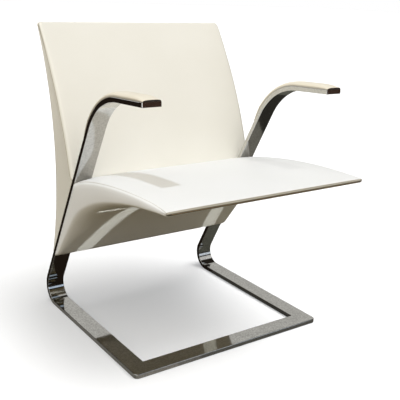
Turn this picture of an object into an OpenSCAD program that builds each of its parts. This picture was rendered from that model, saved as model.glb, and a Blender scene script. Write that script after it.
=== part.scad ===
// Cantilever lounge chair: two bent flat steel bars and a front crossbar carry
// a fin-shaped seat body and a wedge-shaped back body, both of moulded boards,
// foam and leather, with a leather pad on each arm.
// X runs across the chair, the sitter faces -Y, and Z is up from the floor.
// Side outlines are drawn as [y, z] points and extruded along X.

/* [Overall] */
// Width across the outsides of the steel bars
overall_w = 600; // [540:5:680]
// Height of the back's top edge above the floor
overall_h = 813; // [770:1:860]

/* [Steel frame] */
// Width of the flat bar
bar_w = 50; // [40:1:60]
// Thickness of the flat bar
bar_t = 12; // [8:0.5:16]
// Length of the base, from the front edge to the rearmost point of the rear bends
base_depth = 538; // [500:1:570]
// Inside radius of the rear bends
rear_bend_r = 40; // [30:1:50]
// Lean of the uprights from the vertical, in degrees
upright_lean = 28.75; // [27:0.25:30.5]
// Inside radius of the arm bends
arm_bend_r = 170; // [140:5:190]
// Rise of the arms towards their front ends, in degrees
arm_rise = 3; // [0:0.5:5]
// Height of the steel arm's top at its front end
arm_h = 679; // [660:1:700]
// How far the arms' front ends reach in front of the base
arm_front_reach = 12; // [-20:1:40]
// Radius of the base's outer front corners
base_corner_r = 12; // [3:1:20]

/* [Seat] */
// How far the seat's front edge reaches in front of the base
seat_front_reach = 119; // [90:1:150]
// Height of the seat's side seams where they meet the uprights
seat_rear_h = 411; // [395:1:425]
// Rise of the seat from there to its front edge
seat_rise = 51; // [40:1:62]
// Height of the seat body's rear face, from its lower edge to the seams
seat_body_h = 245; // [225:1:265]
// Thickness of the seat's front edge
seat_front_t = 8; // [6:0.5:14]
// Thickness of the seat body's lower edge
seat_lip_t = 10; // [8:0.5:16]
// Rise of the seat's crown above its side seams
seat_crown = 10; // [4:1:16]
// Radius of the rounding between the seat's sides and underside
seat_side_r = 38; // [20:1:46]
// How far the seat's sides are drawn in below the seams
seat_draw = 2; // [0:0.5:4]

/* [Back] */
// How far the back's top reaches behind the base
back_rear_reach = 24; // [10:1:50]
// Thickness of the back's top edge
back_top_t = 19; // [14:1:26]
// Radius of the back's front face, seen from the side
back_front_r = 1157; // [1000:10:1400]
// Radius of the back's rear face, seen from the side
back_rear_r = 843; // [760:10:1000]
// Height of the back's nose above the seat's rear seams
back_nose_rise = 4; // [2:1:8]
// Height of the back's lower tip above the seat body's lower edge
back_tip_rise = 6; // [2:1:20]
// Thickness of the back's lower tip
back_tip_t = 5; // [4:0.5:9]
// Radius of the rounding along the back's front edges
back_edge_r = 8; // [4:1:12]
// Depth of the front leather on the sides, up to the seams
back_seam_in = 12; // [10:1:16]
// Rise of the crown of the back's front face
back_crown = 4; // [0:1:8]

/* [Arm pads] */
// Thickness of the arm pads at their middle
pad_t = 12; // [8:0.5:16]
// Height of the pads' lower ends on the uprights
pad_low_h = 548; // [530:1:570]
// Gap between a pad's side and the bar's side
pad_side_gap = 0.6; // [0.2:0.1:3]
// Thickness of the steel strip under each pad
pad_plate_t = 1.5; // [1:0.25:2.5]

/* [Upholstery] */
// Thickness of the leather
leather_t = 1.5; // [1:0.25:2]
// Thickness of the seat foam
seat_foam_t = 16; // [10:1:24]
// Thickness of the back foam
back_foam_t = 12; // [8:1:16]
// Gap between the leather bodies and the bars' outer sides
body_side_gap = 1.5; // [0.5:0.5:4]

/* [Boards] */
// Thickness of the boards that are bolted to the uprights
bolted_board_t = 12; // [10:1:15]
// Thickness of the moulded seat deck
deck_t = 9; // [6:0.5:12]
// Thickness of the moulded front board of the back
back_board_t = 8; // [6:0.5:10]
// Thickness of the thin boards under the seat and behind the back
skin_board_t = 4; // [3:0.5:6]
// Thickness of the ribs
rib_t = 15; // [12:1:18]

/* [Fasteners] */
// Thread diameter of the bolts between the bodies and the uprights
bolt_d = 8; // [6:1:10]
// Head diameter of the seat bolts and of the countersunk back bolts
bolt_head_d = 14; // [12:1:17]
// Diameter of the screws that hold the arm pads
pad_screw_d = 4; // [3:0.5:5]
// Diameter of the floor glides
glide_d = 20; // [16:1:26]
// Height of the floor glides below the steel
glide_h = 1; // [1:0.5:3]

/* [Hidden] */
$fn = 64;

// Colours
steel = "silver";
zinc = "lightgray";
ply = "burlywood";
foam = "khaki";
seat_hide = "ivory";
back_hide = "antiquewhite";
nylon = "dimgray";

// Clearances
soft_gap = 0.2;
face_gap = 0.3;
thread_gap = 0.1;
overrun = 1;
// Straight lengths of bar reach this far into their bends, which are
// thinner by the inset on each face so that the two always join cleanly
bend_lap = 1;
bend_inset = 0.02;

// Main places, worked out from the sizes above
seat_front_h = seat_rear_h + seat_rise;
seat_bottom_h = seat_rear_h - seat_body_h;
back_nose_h = seat_rear_h + back_nose_rise;
back_tip_h = seat_bottom_h + back_tip_rise;
half_w = overall_w / 2;
body_half_w = half_w - body_side_gap;
bar_in_x = half_w - bar_w;
bar_mid_x = half_w - bar_w / 2;
depth = seat_front_reach + base_depth + back_rear_reach;
seat_tip_y = -depth / 2;
base_front_y = seat_tip_y + seat_front_reach;
base_rear_y = base_front_y + base_depth;
back_rear_y = depth / 2;
rear_bend = [base_rear_y - rear_bend_r - bar_t, glide_h + bar_t + rear_bend_r];

// Directions in the side view: up the upright, out of its rear face,
// forward along the arm and out of the arm's top
up_dir = [-sin(upright_lean), cos(upright_lean)];
rear_dir = [cos(upright_lean), sin(upright_lean)];
arm_dir = [-cos(arm_rise), sin(arm_rise)];
arm_top_dir = [sin(arm_rise), cos(arm_rise)];

// The upright's and the arm's lengths close the outline between the fixed
// rear bend and the arm's fixed front end
arm_out_r = arm_bend_r + bar_t;
bend_shift = rear_bend + rear_dir * (rear_bend_r - arm_bend_r);
arm_end_y = base_front_y - arm_front_reach;
upright_len = (arm_h - bend_shift[1] - cos(arm_rise) * arm_out_r
    - tan(arm_rise) * (bend_shift[0] + sin(arm_rise) * arm_out_r - arm_end_y))
    / (cos(upright_lean) - tan(arm_rise) * sin(upright_lean));
arm_bend = bend_shift + up_dir * upright_len;
arm_len = (arm_bend[0] + sin(arm_rise) * arm_out_r - arm_end_y) / cos(arm_rise);

// Points on the upright: out is measured from its front face towards the
// rear, h along it from the rear bend
function on_upright(out, h) = rear_bend + rear_dir * (rear_bend_r + out) + up_dir * h;
function upright_h(out, z) =
    (z - rear_bend[1] - rear_dir[1] * (rear_bend_r + out)) / up_dir[1];
function upright_at(out, z) = on_upright(out, upright_h(out, z));

// Curves as lists of points
function mix(a, b, t) = a + (b - a) * t;
function bezier(a, b, c, d, t) =
    a * pow(1 - t, 3) + b * 3 * t * pow(1 - t, 2) + c * 3 * t * t * (1 - t) + d * pow(t, 3);
// A point at share t of the arc of radius r from a to b, bulging to the
// left of the way from a to b
function arc_point(a, b, r, t) =
    let (half = norm(b - a) / 2, turn = asin(half / r), mid = (a + b) / 2,
        along = (b - a) / (2 * half), right = [along[1], -along[0]],
        centre = mid + right * sqrt(r * r - half * half), angle = turn * (2 * t - 1))
    centre - right * r * cos(angle) + along * r * sin(angle);
function reversed(list) = [for (i = [len(list) - 1 : -1 : 0]) list[i]];

// Seat outline. Stations run from the lower edge, share 0, past the top
// rear corner to the front edge, share 1. Each joins a point on the belly
// curve to one on the upright's face or on the top curve
rear_share = 0.3;
lip_share = 0.03;
rear_shares = [0, 0.012, 0.03, 0.07, 0.12, 0.18, 0.24];
top_shares = [0, 0.02, 0.06, 0.13, 0.22, 0.33, 0.45, 0.58, 0.71, 0.83, 0.92, 0.97, 1];
rear_count = len(rear_shares);
stations = concat(rear_shares, [for (t = top_shares) mix(rear_share, 1, t)]);
last = len(stations) - 1;
// Pull lengths and angles of the seat's top and belly curves
top_rear_pull = 82;
top_rear_angle = 29;
top_front_pull = 140;
top_front_angle = 4;
belly_rear_pull = 226;
belly_rear_angle = 47;
belly_front_pull = 365;
belly_front_angle = 7;
band_t = leather_t;
seat_tip = [seat_tip_y + band_t, seat_front_h];
seat_tip_low = seat_tip - [0, seat_front_t];
seat_low = upright_at(0, seat_bottom_h);
seat_corner = upright_at(0, seat_rear_h);
lip_corner = seat_low - rear_dir * seat_lip_t;
function top_curve(t) = bezier(seat_corner,
    seat_corner + [-cos(top_rear_angle), sin(top_rear_angle)] * top_rear_pull,
    seat_tip + [cos(top_front_angle), sin(top_front_angle)] * top_front_pull, seat_tip, t);
function belly_curve(t) = bezier(lip_corner,
    lip_corner + [-cos(belly_rear_angle), sin(belly_rear_angle)] * belly_rear_pull,
    seat_tip_low + [cos(belly_front_angle), -sin(belly_front_angle)] * belly_front_pull,
    seat_tip_low, t);
function top_share(s) = (s - rear_share) / (1 - rear_share);
function seat_top(s) = s < rear_share ? mix(seat_low, seat_corner, s / rear_share)
    : top_curve(top_share(s));
// The lower edge is rounded: its thickness grows over the first stations
function lip_fill(s) = s >= lip_share ? 1 : 0.3 + 0.7 * sin(90 * s / lip_share);
function seat_belly(s) = mix(seat_top(s), belly_curve(s), lip_fill(s));
function seat_line(s) = seat_top(s) - seat_belly(s);
function seat_depth(s) = norm(seat_line(s));
function seat_dir(s) = seat_line(s) / seat_depth(s);
// A point at height h above the belly and one at depth d under the top
function from_belly(s, h) = seat_belly(s) + seat_dir(s) * h;
function from_top(s, d) = seat_top(s) - seat_dir(s) * d;

// Layers of the seat, thinned towards its front edge
hide_share = 0.19;
foam_share = 0.26;
deck_share = 0.3;
skin_share = 0.12;
function seat_hide_t(s) = min(leather_t, hide_share * seat_depth(s));
function seat_foam_at(s) = min(seat_foam_t, foam_share * seat_depth(s));
function deck_top(s) = seat_hide_t(s) + seat_foam_at(s) + soft_gap;
function deck_low(s) = deck_top(s) + min(deck_t, deck_share * seat_depth(s));
function skin_low(s) = seat_hide_t(s) + soft_gap;
function skin_top(s) = skin_low(s) + min(skin_board_t, skin_share * seat_depth(s));
function rear_board_in(s) = min(bolted_board_t / (seat_dir(s) * rear_dir),
    seat_depth(s) - skin_low(s) - soft_gap);
// The crown falls from full at the rear to none at the front edge, and
// across the seat it stays nearly flat and drops close to the seams
crown_power = 6;
function seat_crown_at(s, x_share) = s < rear_share ? 0
    : seat_crown * sqrt(max(0, 1 - pow(top_share(s), 2))) * (1 - pow(abs(x_share), crown_power));

// Boards seen from the side
board_shares = [for (s = stations) if (s >= lip_share && s < rear_share) s];
deck_shares = [for (s = stations) if (s > rear_share) s];
all_board_shares = concat(board_shares, deck_shares);
rear_board_drop = 4;
rear_board_top = upright_at(0, seat_rear_h - rear_board_drop);

module side_plate(x, w) {
    translate([x, 0, 0]) rotate([90, 0, 90]) linear_extrude(w) children();
}
module mirrored_pair() {
    children();
    mirror([1, 0, 0]) children();
}
// Places children on the uprights: their Z points out of the rear face, and
// they sit at each height along the bar, on its middle line
module on_uprights(out, heights) {
    for (side = [-1, 1], h = heights) {
        p = on_upright(out, h);
        translate([side * bar_mid_x, p[0], p[1]]) rotate([upright_lean - 90, 0, 0]) children();
    }
}

// A ring sector in the side view, between two directions from its centre
module bend_band(centre, r_in, r_out, from, to) {
    reach = 2 * r_out;
    translate(centre) intersection() {
        difference() {
            circle(r_out - bend_inset);
            circle(r_in + bend_inset);
        }
        polygon([[0, 0], [cos(from), sin(from)] * reach,
            [cos((from + to) / 2), sin((from + to) / 2)] * reach, [cos(to), sin(to)] * reach]);
    }
}
// The flat bar's side outline, from the base's front edge to the arm's end
module bar_outline() {
    translate([base_front_y, glide_h]) square([rear_bend[0] - base_front_y + bend_lap, bar_t]);
    bend_band(rear_bend, rear_bend_r, rear_bend_r + bar_t, -90, upright_lean);
    translate(rear_bend) rotate(upright_lean) translate([rear_bend_r, -bend_lap])
        square([bar_t, upright_len + 2 * bend_lap]);
    bend_band(arm_bend, arm_bend_r, arm_out_r, upright_lean, 90 - arm_rise);
    translate(arm_bend) rotate(90 - arm_rise) translate([arm_bend_r, -bend_lap])
        square([bar_t, arm_len + bend_lap]);
}

// Fasteners: heights along the uprights and places along the arms
seat_bolt_shares = [0.3, 0.52, 0.86];
back_bolt_shares = [0.18, 0.41, 0.7];
seat_low_at = upright_h(0, seat_bottom_h);
seat_high_at = upright_h(0, seat_rear_h);
seat_bolt_at = [for (t = seat_bolt_shares) mix(seat_low_at, seat_high_at, t)];
back_bolt_at = [for (t = back_bolt_shares) mix(seat_low_at, seat_high_at, t)];
bolt_r = bolt_d / 2;
head_r = bolt_head_d / 2;
head_h = bolt_d / 2;
socket_r = bolt_d / 4;
socket_deep = bolt_d / 4;
washer_r = head_r + 2 * thread_gap + bolt_d / 4;
washer_t = bolt_d / 5;
head_pocket = washer_t + head_h + face_gap;
bolt_in_bar = bar_t - thread_gap;
insert_r = bolt_r + bolt_d / 4;
insert_len = bolted_board_t - face_gap;
sink_deep = head_r - bolt_r;
pad_screw_r = pad_screw_d / 2;
pad_head_r = pad_screw_d;
pad_screw_shares = [0.25, 0.8];
pad_screw_at = [for (t = pad_screw_shares) arm_len * t];
glide_r = glide_d / 2;
stem_r = glide_d / 6;
stem_h = bar_t / 2;
glide_inset = bar_w / 2;
glide_ys = [base_front_y + glide_inset, rear_bend[0] - glide_inset];

// Frame
module pad_screw_places() {
    for (along = pad_screw_at) {
        p = arm_bend + arm_top_dir * arm_bend_r + arm_dir * along;
        translate([bar_mid_x, p[0], p[1]]) rotate([-arm_rise, 0, 0]) children();
    }
}
module corner_waste() {
    translate([-half_w, base_front_y, 0]) difference() {
        translate([-overrun, -overrun, 0])
            cube([base_corner_r + overrun, base_corner_r + overrun, glide_h + bar_t + overrun]);
        translate([base_corner_r, base_corner_r, -overrun])
            cylinder(r = base_corner_r, h = glide_h + bar_t + 3 * overrun);
    }
}
module mitre_waste() {
    // The part of the runner in front of the mitre line
    big = bar_w + overrun;
    translate([-half_w, base_front_y, 0]) linear_extrude(glide_h + bar_t + overrun)
        polygon([[-overrun, -overrun], [big, -overrun], [big, big]]);
}
// The cut for a countersunk head, starting an overrun in front of the face
module countersink(wide, narrow) {
    cylinder(r1 = wide + overrun, r2 = narrow, h = wide - narrow + overrun);
}
module side_bar() {
    difference() {
        side_plate(-half_w, bar_w) bar_outline();
        mitre_waste();
        corner_waste();
        on_uprights(-overrun, seat_bolt_at)
            cylinder(r = bolt_r, h = bar_t + 2 * overrun);
        on_uprights(-overrun, back_bolt_at)
            cylinder(r = bolt_r + face_gap, h = bar_t + 2 * overrun);
        on_uprights(-overrun, back_bolt_at)
            countersink(head_r + face_gap, bolt_r + face_gap);
        mirror([1, 0, 0]) pad_screw_places() {
            translate([0, 0, -overrun])
                cylinder(r = pad_screw_r + thread_gap, h = bar_t + 2 * overrun);
            translate([0, 0, -overrun])
                countersink(pad_head_r + thread_gap, pad_screw_r + thread_gap);
        }
        glide_stems(stem_r + thread_gap);
    }
}
module side_bar_right() {
    color(steel) side_bar();
}
module side_bar_left() {
    color(steel) mirror([1, 0, 0]) side_bar();
}
module front_crossbar() {
    color(steel) difference() {
        translate([0, base_front_y, glide_h]) linear_extrude(bar_t)
            polygon([[-half_w, 0], [half_w, 0], [bar_in_x, bar_w], [-bar_in_x, bar_w]]);
        mirrored_pair() corner_waste();
        glide_stems(stem_r + thread_gap);
    }
}
module glide_stems(r) {
    for (side = [-1, 1], y = glide_ys)
        translate([side * bar_mid_x, y + glide_inset, 0]) cylinder(r = r, h = glide_h + stem_h);
}
module floor_glides() {
    color(nylon) {
        for (side = [-1, 1], y = glide_ys)
            translate([side * bar_mid_x, y + glide_inset, 0]) cylinder(r = glide_r, h = glide_h);
        glide_stems(stem_r);
    }
}

// Seat boards
board_half_w = body_half_w - leather_t - soft_gap;
core_half_w = body_half_w - seat_side_r - leather_t;
deck_half_w = body_half_w - bolted_board_t;
module bolt_bores(r, out, depth_in, heights) {
    on_uprights(out - depth_in - overrun, heights) cylinder(r = r, h = depth_in + 2 * overrun);
}
// The rear board's lower corners are cut off, clear of the rounded leather
board_cut_w = 8;
board_cut_h = 120;
module rear_board_cut() {
    translate([board_half_w, seat_low[0], seat_low[1]]) rotate([upright_lean + 90, 0, 0])
        linear_extrude(4 * bolted_board_t)
            polygon([[-board_cut_w, 0], [overrun, 0], [overrun, board_cut_h], [0, board_cut_h]]);
}
module seat_rear_board() {
    color(ply) difference() {
        side_plate(-board_half_w, 2 * board_half_w)
            polygon(concat([for (s = board_shares) seat_top(s)], [rear_board_top],
                [from_top(rear_share, rear_board_in(rear_share))],
                reversed([for (s = board_shares) from_top(s, rear_board_in(s))])));
        bolt_bores(bolt_r + thread_gap, 0, bolted_board_t, seat_bolt_at);
        joining_screw_places() cylinder(r = joint_screw_r, h = joint_screw_len + overrun);
        mirrored_pair() rear_board_cut();
    }
}
module seat_deck() {
    color(ply) side_plate(-deck_half_w, 2 * deck_half_w)
        polygon(concat([for (s = deck_shares) from_top(s, deck_top(s))],
            reversed([for (s = deck_shares) from_top(s, deck_low(s))])));
}
module seat_belly_board() {
    color(ply) side_plate(-core_half_w, 2 * core_half_w)
        polygon(concat([for (s = belly_shares) from_belly(s, skin_low(s))],
            reversed([for (s = belly_shares) from_belly(s, skin_top(s))])));
}
// The belly board stops where the rear board and the deck close the body
belly_min_depth = 1.5 * bolted_board_t + skin_board_t;
belly_shares = [for (s = all_board_shares) if (seat_depth(s) > belly_min_depth) s];
rib_min = skin_board_t;
function rib_top(s) = (s < rear_share ? rear_board_in(s) : deck_low(s)) + soft_gap;
rib_shares = [for (s = belly_shares)
    if (seat_depth(s) - skin_top(s) - rib_top(s) > rib_min) s];
module seat_rib(x) {
    side_plate(x - rib_t / 2, rib_t)
        polygon(concat([for (s = rib_shares) from_top(s, rib_top(s))],
            reversed([for (s = rib_shares) from_belly(s, skin_top(s))])));
}
seat_rib_x = core_half_w - rib_t / 2;
module seat_rib_right() {
    color(ply) seat_rib(-seat_rib_x);
}
module seat_rib_middle() {
    color(ply) seat_rib(0);
}
module seat_rib_left() {
    color(ply) seat_rib(seat_rib_x);
}

// Soft forms are closed meshes built from rows of points. A sheet has an
// outer and an inner grid of points, a loft has a row of closed rings
function grid_faces(rows, cols, base) = [for (i = [0 : rows - 2], j = [0 : cols - 2])
    let (a = base + i * cols + j) each [[a, a + 1, a + cols], [a + 1, a + cols + 1, a + cols]]];
function turned(faces) = [for (f = faces) [f[0], f[2], f[1]]];
function edge_walk(rows, cols) = concat([for (j = [0 : cols - 1]) j],
    [for (i = [1 : rows - 1]) i * cols + cols - 1],
    [for (j = [cols - 2 : -1 : 0]) (rows - 1) * cols + j],
    [for (i = [rows - 2 : -1 : 1]) i * cols]);
module sheet(outer, inner) {
    rows = len(outer);
    cols = len(outer[0]);
    count = rows * cols;
    walk = edge_walk(rows, cols);
    rim = [for (k = [0 : len(walk) - 1])
        let (a = walk[k], b = walk[(k + 1) % len(walk)])
        each [[a, a + count, b], [b, a + count, b + count]]];
    polyhedron(points = concat([for (r = outer) each r], [for (r = inner) each r]),
        faces = concat(grid_faces(rows, cols, 0), turned(grid_faces(rows, cols, count)), rim));
}
module loft(rings) {
    n = len(rings[0]);
    m = len(rings);
    polyhedron(points = [for (r = rings) each r],
        faces = concat(
            [for (i = [0 : m - 2], j = [0 : n - 1])
                let (a = i * n + j, b = i * n + (j + 1) % n)
                each [[a, a + n, b + n], [a, b + n, b]]],
            [[for (j = [0 : n - 1]) j]],
            [[for (j = [n - 1 : -1 : 0]) (m - 1) * n + j]]));
}
function at_x(x, p) = [x, p[0], p[1]];

// Seat top leather and foam. Between the bars the top runs on to the back
tail_in = bar_in_x - 2 * face_gap;
tail_out = bar_in_x - face_gap / 2;
x_shares = [1, 0.97, 0.92];
function top_xs(half) = let (row = concat(half * x_shares, [tail_out, tail_in, half / 2]))
    concat(-row, [0], reversed(row));
back_nose = upright_at(bar_t, back_nose_h);
tail_end = [back_nose[0] - face_gap, seat_rear_h + seat_crown];
tail_low = [tail_end[0], seat_rear_h];
// Close to the uprights the crown rises along them
crown_turn_share = 0.2;
function crown_dir(s) = mix(up_dir, seat_dir(s), min(1, top_share(s) / crown_turn_share));
function top_point(s, x, half, d) = at_x(x,
    from_top(s, d) + crown_dir(s) * seat_crown_at(s, x / half));
function tail_row(half, point, lower, d) = [for (x = top_xs(half))
    abs(x) <= tail_in ? at_x(x, point)
    : at_x(x, from_top(rear_share, d)
        + (lower ? [0, 0] : up_dir * seat_crown_at(rear_share, x / half)))];
top_row_shares = [for (t = top_shares) mix(rear_share, 1, max(t, 0.004))];
top_leather_half = body_half_w - leather_t - soft_gap;
module seat_top_leather() {
    outer = concat([tail_row(top_leather_half, tail_end, false, 0)],
        [for (s = top_row_shares) [for (x = top_xs(top_leather_half))
            top_point(s, x, top_leather_half, 0)]]);
    inner = concat([tail_row(top_leather_half, tail_end - [0, leather_t], false, leather_t)],
        [for (s = top_row_shares) [for (x = top_xs(top_leather_half))
            top_point(s, x, top_leather_half, seat_hide_t(s))]]);
    color(seat_hide) sheet(outer, inner);
}
foam_half = body_half_w - bolted_board_t;
rear_foam_t = 3;
module seat_top_foam() {
    outer = concat([tail_row(foam_half, tail_end - [0, leather_t + soft_gap], false,
            leather_t + soft_gap)],
        [for (s = top_row_shares) [for (x = top_xs(foam_half))
            top_point(s, x, foam_half, seat_hide_t(s) + soft_gap / 2)]]);
    inner = concat([tail_row(foam_half, tail_low, true, leather_t + rear_foam_t)],
        [for (s = top_row_shares) [for (x = top_xs(foam_half))
            at_x(x, from_top(s, s < deck_shares[0] ? leather_t + rear_foam_t
                : deck_top(s) - soft_gap / 2))]]);
    color(foam) sheet(outer, inner);
}

// Seat sides and underside: a section runs down a side, round the lower
// corner and across to the other side
round_steps = 6;
round_share = 0.24;
draw_share = 0.015;
function side_draw(s) = s <= rear_share ? 0 : min(seat_draw, draw_share * seat_depth(s));
function corner_r(s, d) = max(0.2, min(seat_side_r, round_share * seat_depth(s)) - d);
function half_section(s, d) = let (r = corner_r(s, d), w = body_half_w - d,
        high = seat_depth(s) - (s < rear_share ? 0 : soft_gap))
    concat([for (t = [1, 0.5]) [w - side_draw(s) * sin(180 * (1 - t)), mix(r + d, high, t)]],
        [for (k = [0 : round_steps]) [w - r + r * cos(90 * k / round_steps),
            d + r - r * sin(90 * k / round_steps)]],
        [[(w - r) / 2, d]]);
function under_row(s, d) = let (half = half_section(s, d))
    concat([for (q = half) at_x(q[0], from_belly(s, q[1]))],
        reversed([for (q = half) at_x(-q[0], from_belly(s, q[1]))]));
module seat_under_leather() {
    color(seat_hide) sheet([for (s = stations) under_row(s, 0)],
        [for (s = stations) under_row(s, seat_hide_t(s))]);
}
// The rolls of foam that round the sides, between the outer ribs and the
// leather
roll_min_depth = 2.2 * bolted_board_t + 2 * leather_t;
roll_shares = [for (s = all_board_shares) if (seat_depth(s) > roll_min_depth) s];
function roll_top(s) = (s < rear_share ? rear_board_in(s) : deck_low(s)) + 2 * face_gap;
function roll_ring(s) = let (d = leather_t + soft_gap, r = corner_r(s, d),
        w = body_half_w - d - seat_draw, high = seat_depth(s) - roll_top(s),
        in_x = core_half_w + face_gap,
        low = [for (k = [0 : round_steps]) [max(in_x + face_gap, w - r + r * cos(90 * k / round_steps)),
            min(high - soft_gap * (k + 1) / round_steps, d + r - r * sin(90 * k / round_steps))]])
    [for (q = concat([[in_x, high], [w, high]], low, [[in_x, d]])) at_x(q[0], from_belly(s, q[1]))];
module seat_side_foam() {
    difference() {
        loft([for (s = reversed(roll_shares)) roll_ring(s)]);
        on_uprights(-bolted_board_t - head_pocket, seat_bolt_at)
            cylinder(r = washer_r + face_gap, h = head_pocket);
    }
}
module seat_side_foam_left() {
    color(foam) seat_side_foam();
}
module seat_side_foam_right() {
    color(foam) mirror([1, 0, 0]) seat_side_foam();
}
module seat_front_band() {
    color(seat_hide) side_plate(-top_leather_half, 2 * top_leather_half)
        translate([seat_tip_y, seat_front_h - seat_front_t + band_t / 2])
            square([band_t - soft_gap / 2, seat_front_t - band_t]);
}

// The board between the uprights ties the seat to the back
joint_screw_r = 2;
joint_screw_len = 2 * bolted_board_t - 3 * overrun;
joint_screw_shares = [0.2, 0.5, 0.85];
joint_screw_xs = [-bar_in_x / 2, bar_in_x / 2];
joining_top = upright_h(0, seat_rear_h) - 2 * bar_t;
module joining_screw_places() {
    for (x = joint_screw_xs, t = joint_screw_shares) {
        p = on_upright(bar_t, mix(seat_low_at, seat_high_at, t));
        translate([x, p[0], p[1]]) rotate([upright_lean + 90, 0, 0]) children();
    }
}
module joining_board() {
    color(ply) difference() {
        side_plate(-tail_in, 2 * tail_in)
            polygon([on_upright(0, seat_low_at + bar_t), on_upright(bar_t, seat_low_at + bar_t),
                on_upright(bar_t, joining_top), on_upright(0, joining_top)]);
        joining_screw_places() {
            translate([0, 0, -overrun]) cylinder(r = joint_screw_r + thread_gap,
                h = bar_t + 2 * overrun);
            translate([0, 0, -overrun])
                countersink(2 * joint_screw_r + thread_gap, joint_screw_r + thread_gap);
        }
    }
}
module joining_screws() {
    color(zinc) joining_screw_places() {
        cylinder(r1 = 2 * joint_screw_r, r2 = joint_screw_r, h = joint_screw_r);
        cylinder(r = joint_screw_r, h = joint_screw_len);
    }
}

// Back outline. Stations run from the lower tip, share 0, past the nose to
// the top edge, share 1, and join the front outline to the rear one
nose_share = 0.42;
low_back_shares = [0, 0.03, 0.1, 0.2, 0.31];
high_back_shares = [0, 0.08, 0.2, 0.34, 0.48, 0.62, 0.76, 0.89, 0.97, 1];
high_stations = [for (t = high_back_shares) mix(nose_share, 1, t)];
back_stations = concat(low_back_shares, high_stations);
back_tip = upright_at(bar_t, back_tip_h);
back_tip_rear = back_tip + rear_dir * back_tip_t;
back_top_front = [back_rear_y - back_top_t, overall_h - leather_t];
back_top_rear = [back_rear_y, overall_h - leather_t];
function back_front(v) = v < nose_share ? mix(back_tip, back_nose, v / nose_share)
    : arc_point(back_nose, back_top_front, back_front_r, (v - nose_share) / (1 - nose_share));
function back_rear(v) = arc_point(back_tip_rear, back_top_rear, back_rear_r, v);
function back_line(v) = back_rear(v) - back_front(v);
function back_depth(v) = norm(back_line(v));
function back_dir(v) = back_line(v) / back_depth(v);
function from_front(v, d) = back_front(v) + back_dir(v) * d;
function from_rear(v, d) = back_rear(v) - back_dir(v) * d;

// Layers of the back, thinned towards its tip and its top edge
layer_share = 0.28;
function back_foam_at(v) = min(back_foam_t, layer_share * back_depth(v));
function front_board_in(v) = leather_t + back_foam_at(v) + soft_gap;
function front_board_out(v) = front_board_in(v) + min(back_board_t, layer_share * back_depth(v));
function rear_board_out(v) = leather_t + soft_gap;
function rear_skin(v) = rear_board_out(v) + min(skin_board_t, layer_share * back_depth(v) / 2);
function base_board_out(v) = min(bolted_board_t / (back_dir(v) * rear_dir),
    back_depth(v) - rear_board_out(v));
low_boards = [for (v = back_stations) if (v > 0 && v < nose_share) v];
nose_board = nose_share - 0.012;

back_half_w = body_half_w;
back_draw = seat_draw / 2;
back_board_half = back_half_w - leather_t - soft_gap - back_draw;
module back_base_board() {
    list = concat(low_boards, [nose_board]);
    color(ply) difference() {
        side_plate(-back_board_half, 2 * back_board_half)
            polygon(concat([for (v = list) from_front(v, 0)],
                reversed([for (v = list) from_front(v, base_board_out(v))])));
        on_uprights(bar_t - overrun, back_bolt_at)
            cylinder(r = insert_r + thread_gap, h = insert_len + overrun);
    }
}
top_board_share = 0.985;
board_stations = [for (v = high_stations) if (v <= top_board_share) v];
module back_front_board() {
    color(ply) side_plate(-back_board_half, 2 * back_board_half)
        polygon(concat([for (v = board_stations) from_front(v, front_board_in(v))],
            reversed([for (v = board_stations) from_front(v, front_board_out(v))])));
}
module back_rear_board() {
    list = concat(hollow_shares, board_stations);
    color(ply) side_plate(-back_board_half, 2 * back_board_half)
        polygon(concat([for (v = list) from_rear(v, rear_board_out(v))],
            reversed([for (v = list) from_rear(v, rear_skin(v))])));
}
function rib_front(v) = (v < nose_share ? base_board_out(v) : front_board_out(v)) + soft_gap;
// The rear board and the ribs start where the base board leaves room for both
function rib_room(v) = back_depth(v) - rear_skin(v) - rib_front(v);
hollow_shares = [for (v = concat(low_boards, [nose_board])) if (rib_room(v) > rib_min / 2) v];
back_rib_outer_x = back_board_half - rib_t / 2;
back_rib_xs = [-back_rib_outer_x, -back_rib_outer_x / 3, back_rib_outer_x / 3, back_rib_outer_x];
rib_shares_back = concat(hollow_shares,
    [for (v = board_stations) if (rib_room(v) > rib_min / 2) v]);
module back_ribs() {
    color(ply) for (x = back_rib_xs) side_plate(x - rib_t / 2, rib_t)
        polygon(concat([for (v = rib_shares_back) from_front(v, rib_front(v))],
            reversed([for (v = rib_shares_back) from_rear(v, rear_skin(v))])));
}

// Back leathers and foam
edge_steps = 3;
face_shares = [0.86, 0.5];
function back_edge_at(v) = min(back_edge_r, layer_share * back_depth(v));
function seam_at(v) = min(back_seam_in, 0.6 * back_depth(v));
function back_crown_at(v, x) = back_crown * (1 - pow(abs(x / back_half_w), crown_power))
    * sin(180 * (v - nose_share) / (1 - nose_share));
function front_half(v, d) = let (r = max(0.2, back_edge_at(v) - d), w = back_half_w - d)
    concat([[w, seam_at(v)]],
        [for (k = [0 : edge_steps]) [w - r + r * cos(90 * k / edge_steps),
            d + r - r * sin(90 * k / edge_steps)]],
        [for (t = face_shares) [t * w, d - back_crown_at(v, t * w)]]);
function front_row(v, d) = let (half = front_half(v, d))
    concat([for (q = half) at_x(q[0], from_front(v, q[1]))],
        [at_x(0, from_front(v, d - back_crown_at(v, 0)))],
        reversed([for (q = half) at_x(-q[0], from_front(v, q[1]))]));
module back_front_leather() {
    color(back_hide) sheet([for (v = high_stations) front_row(v, 0)],
        [for (v = high_stations) front_row(v, leather_t)]);
}
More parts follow.
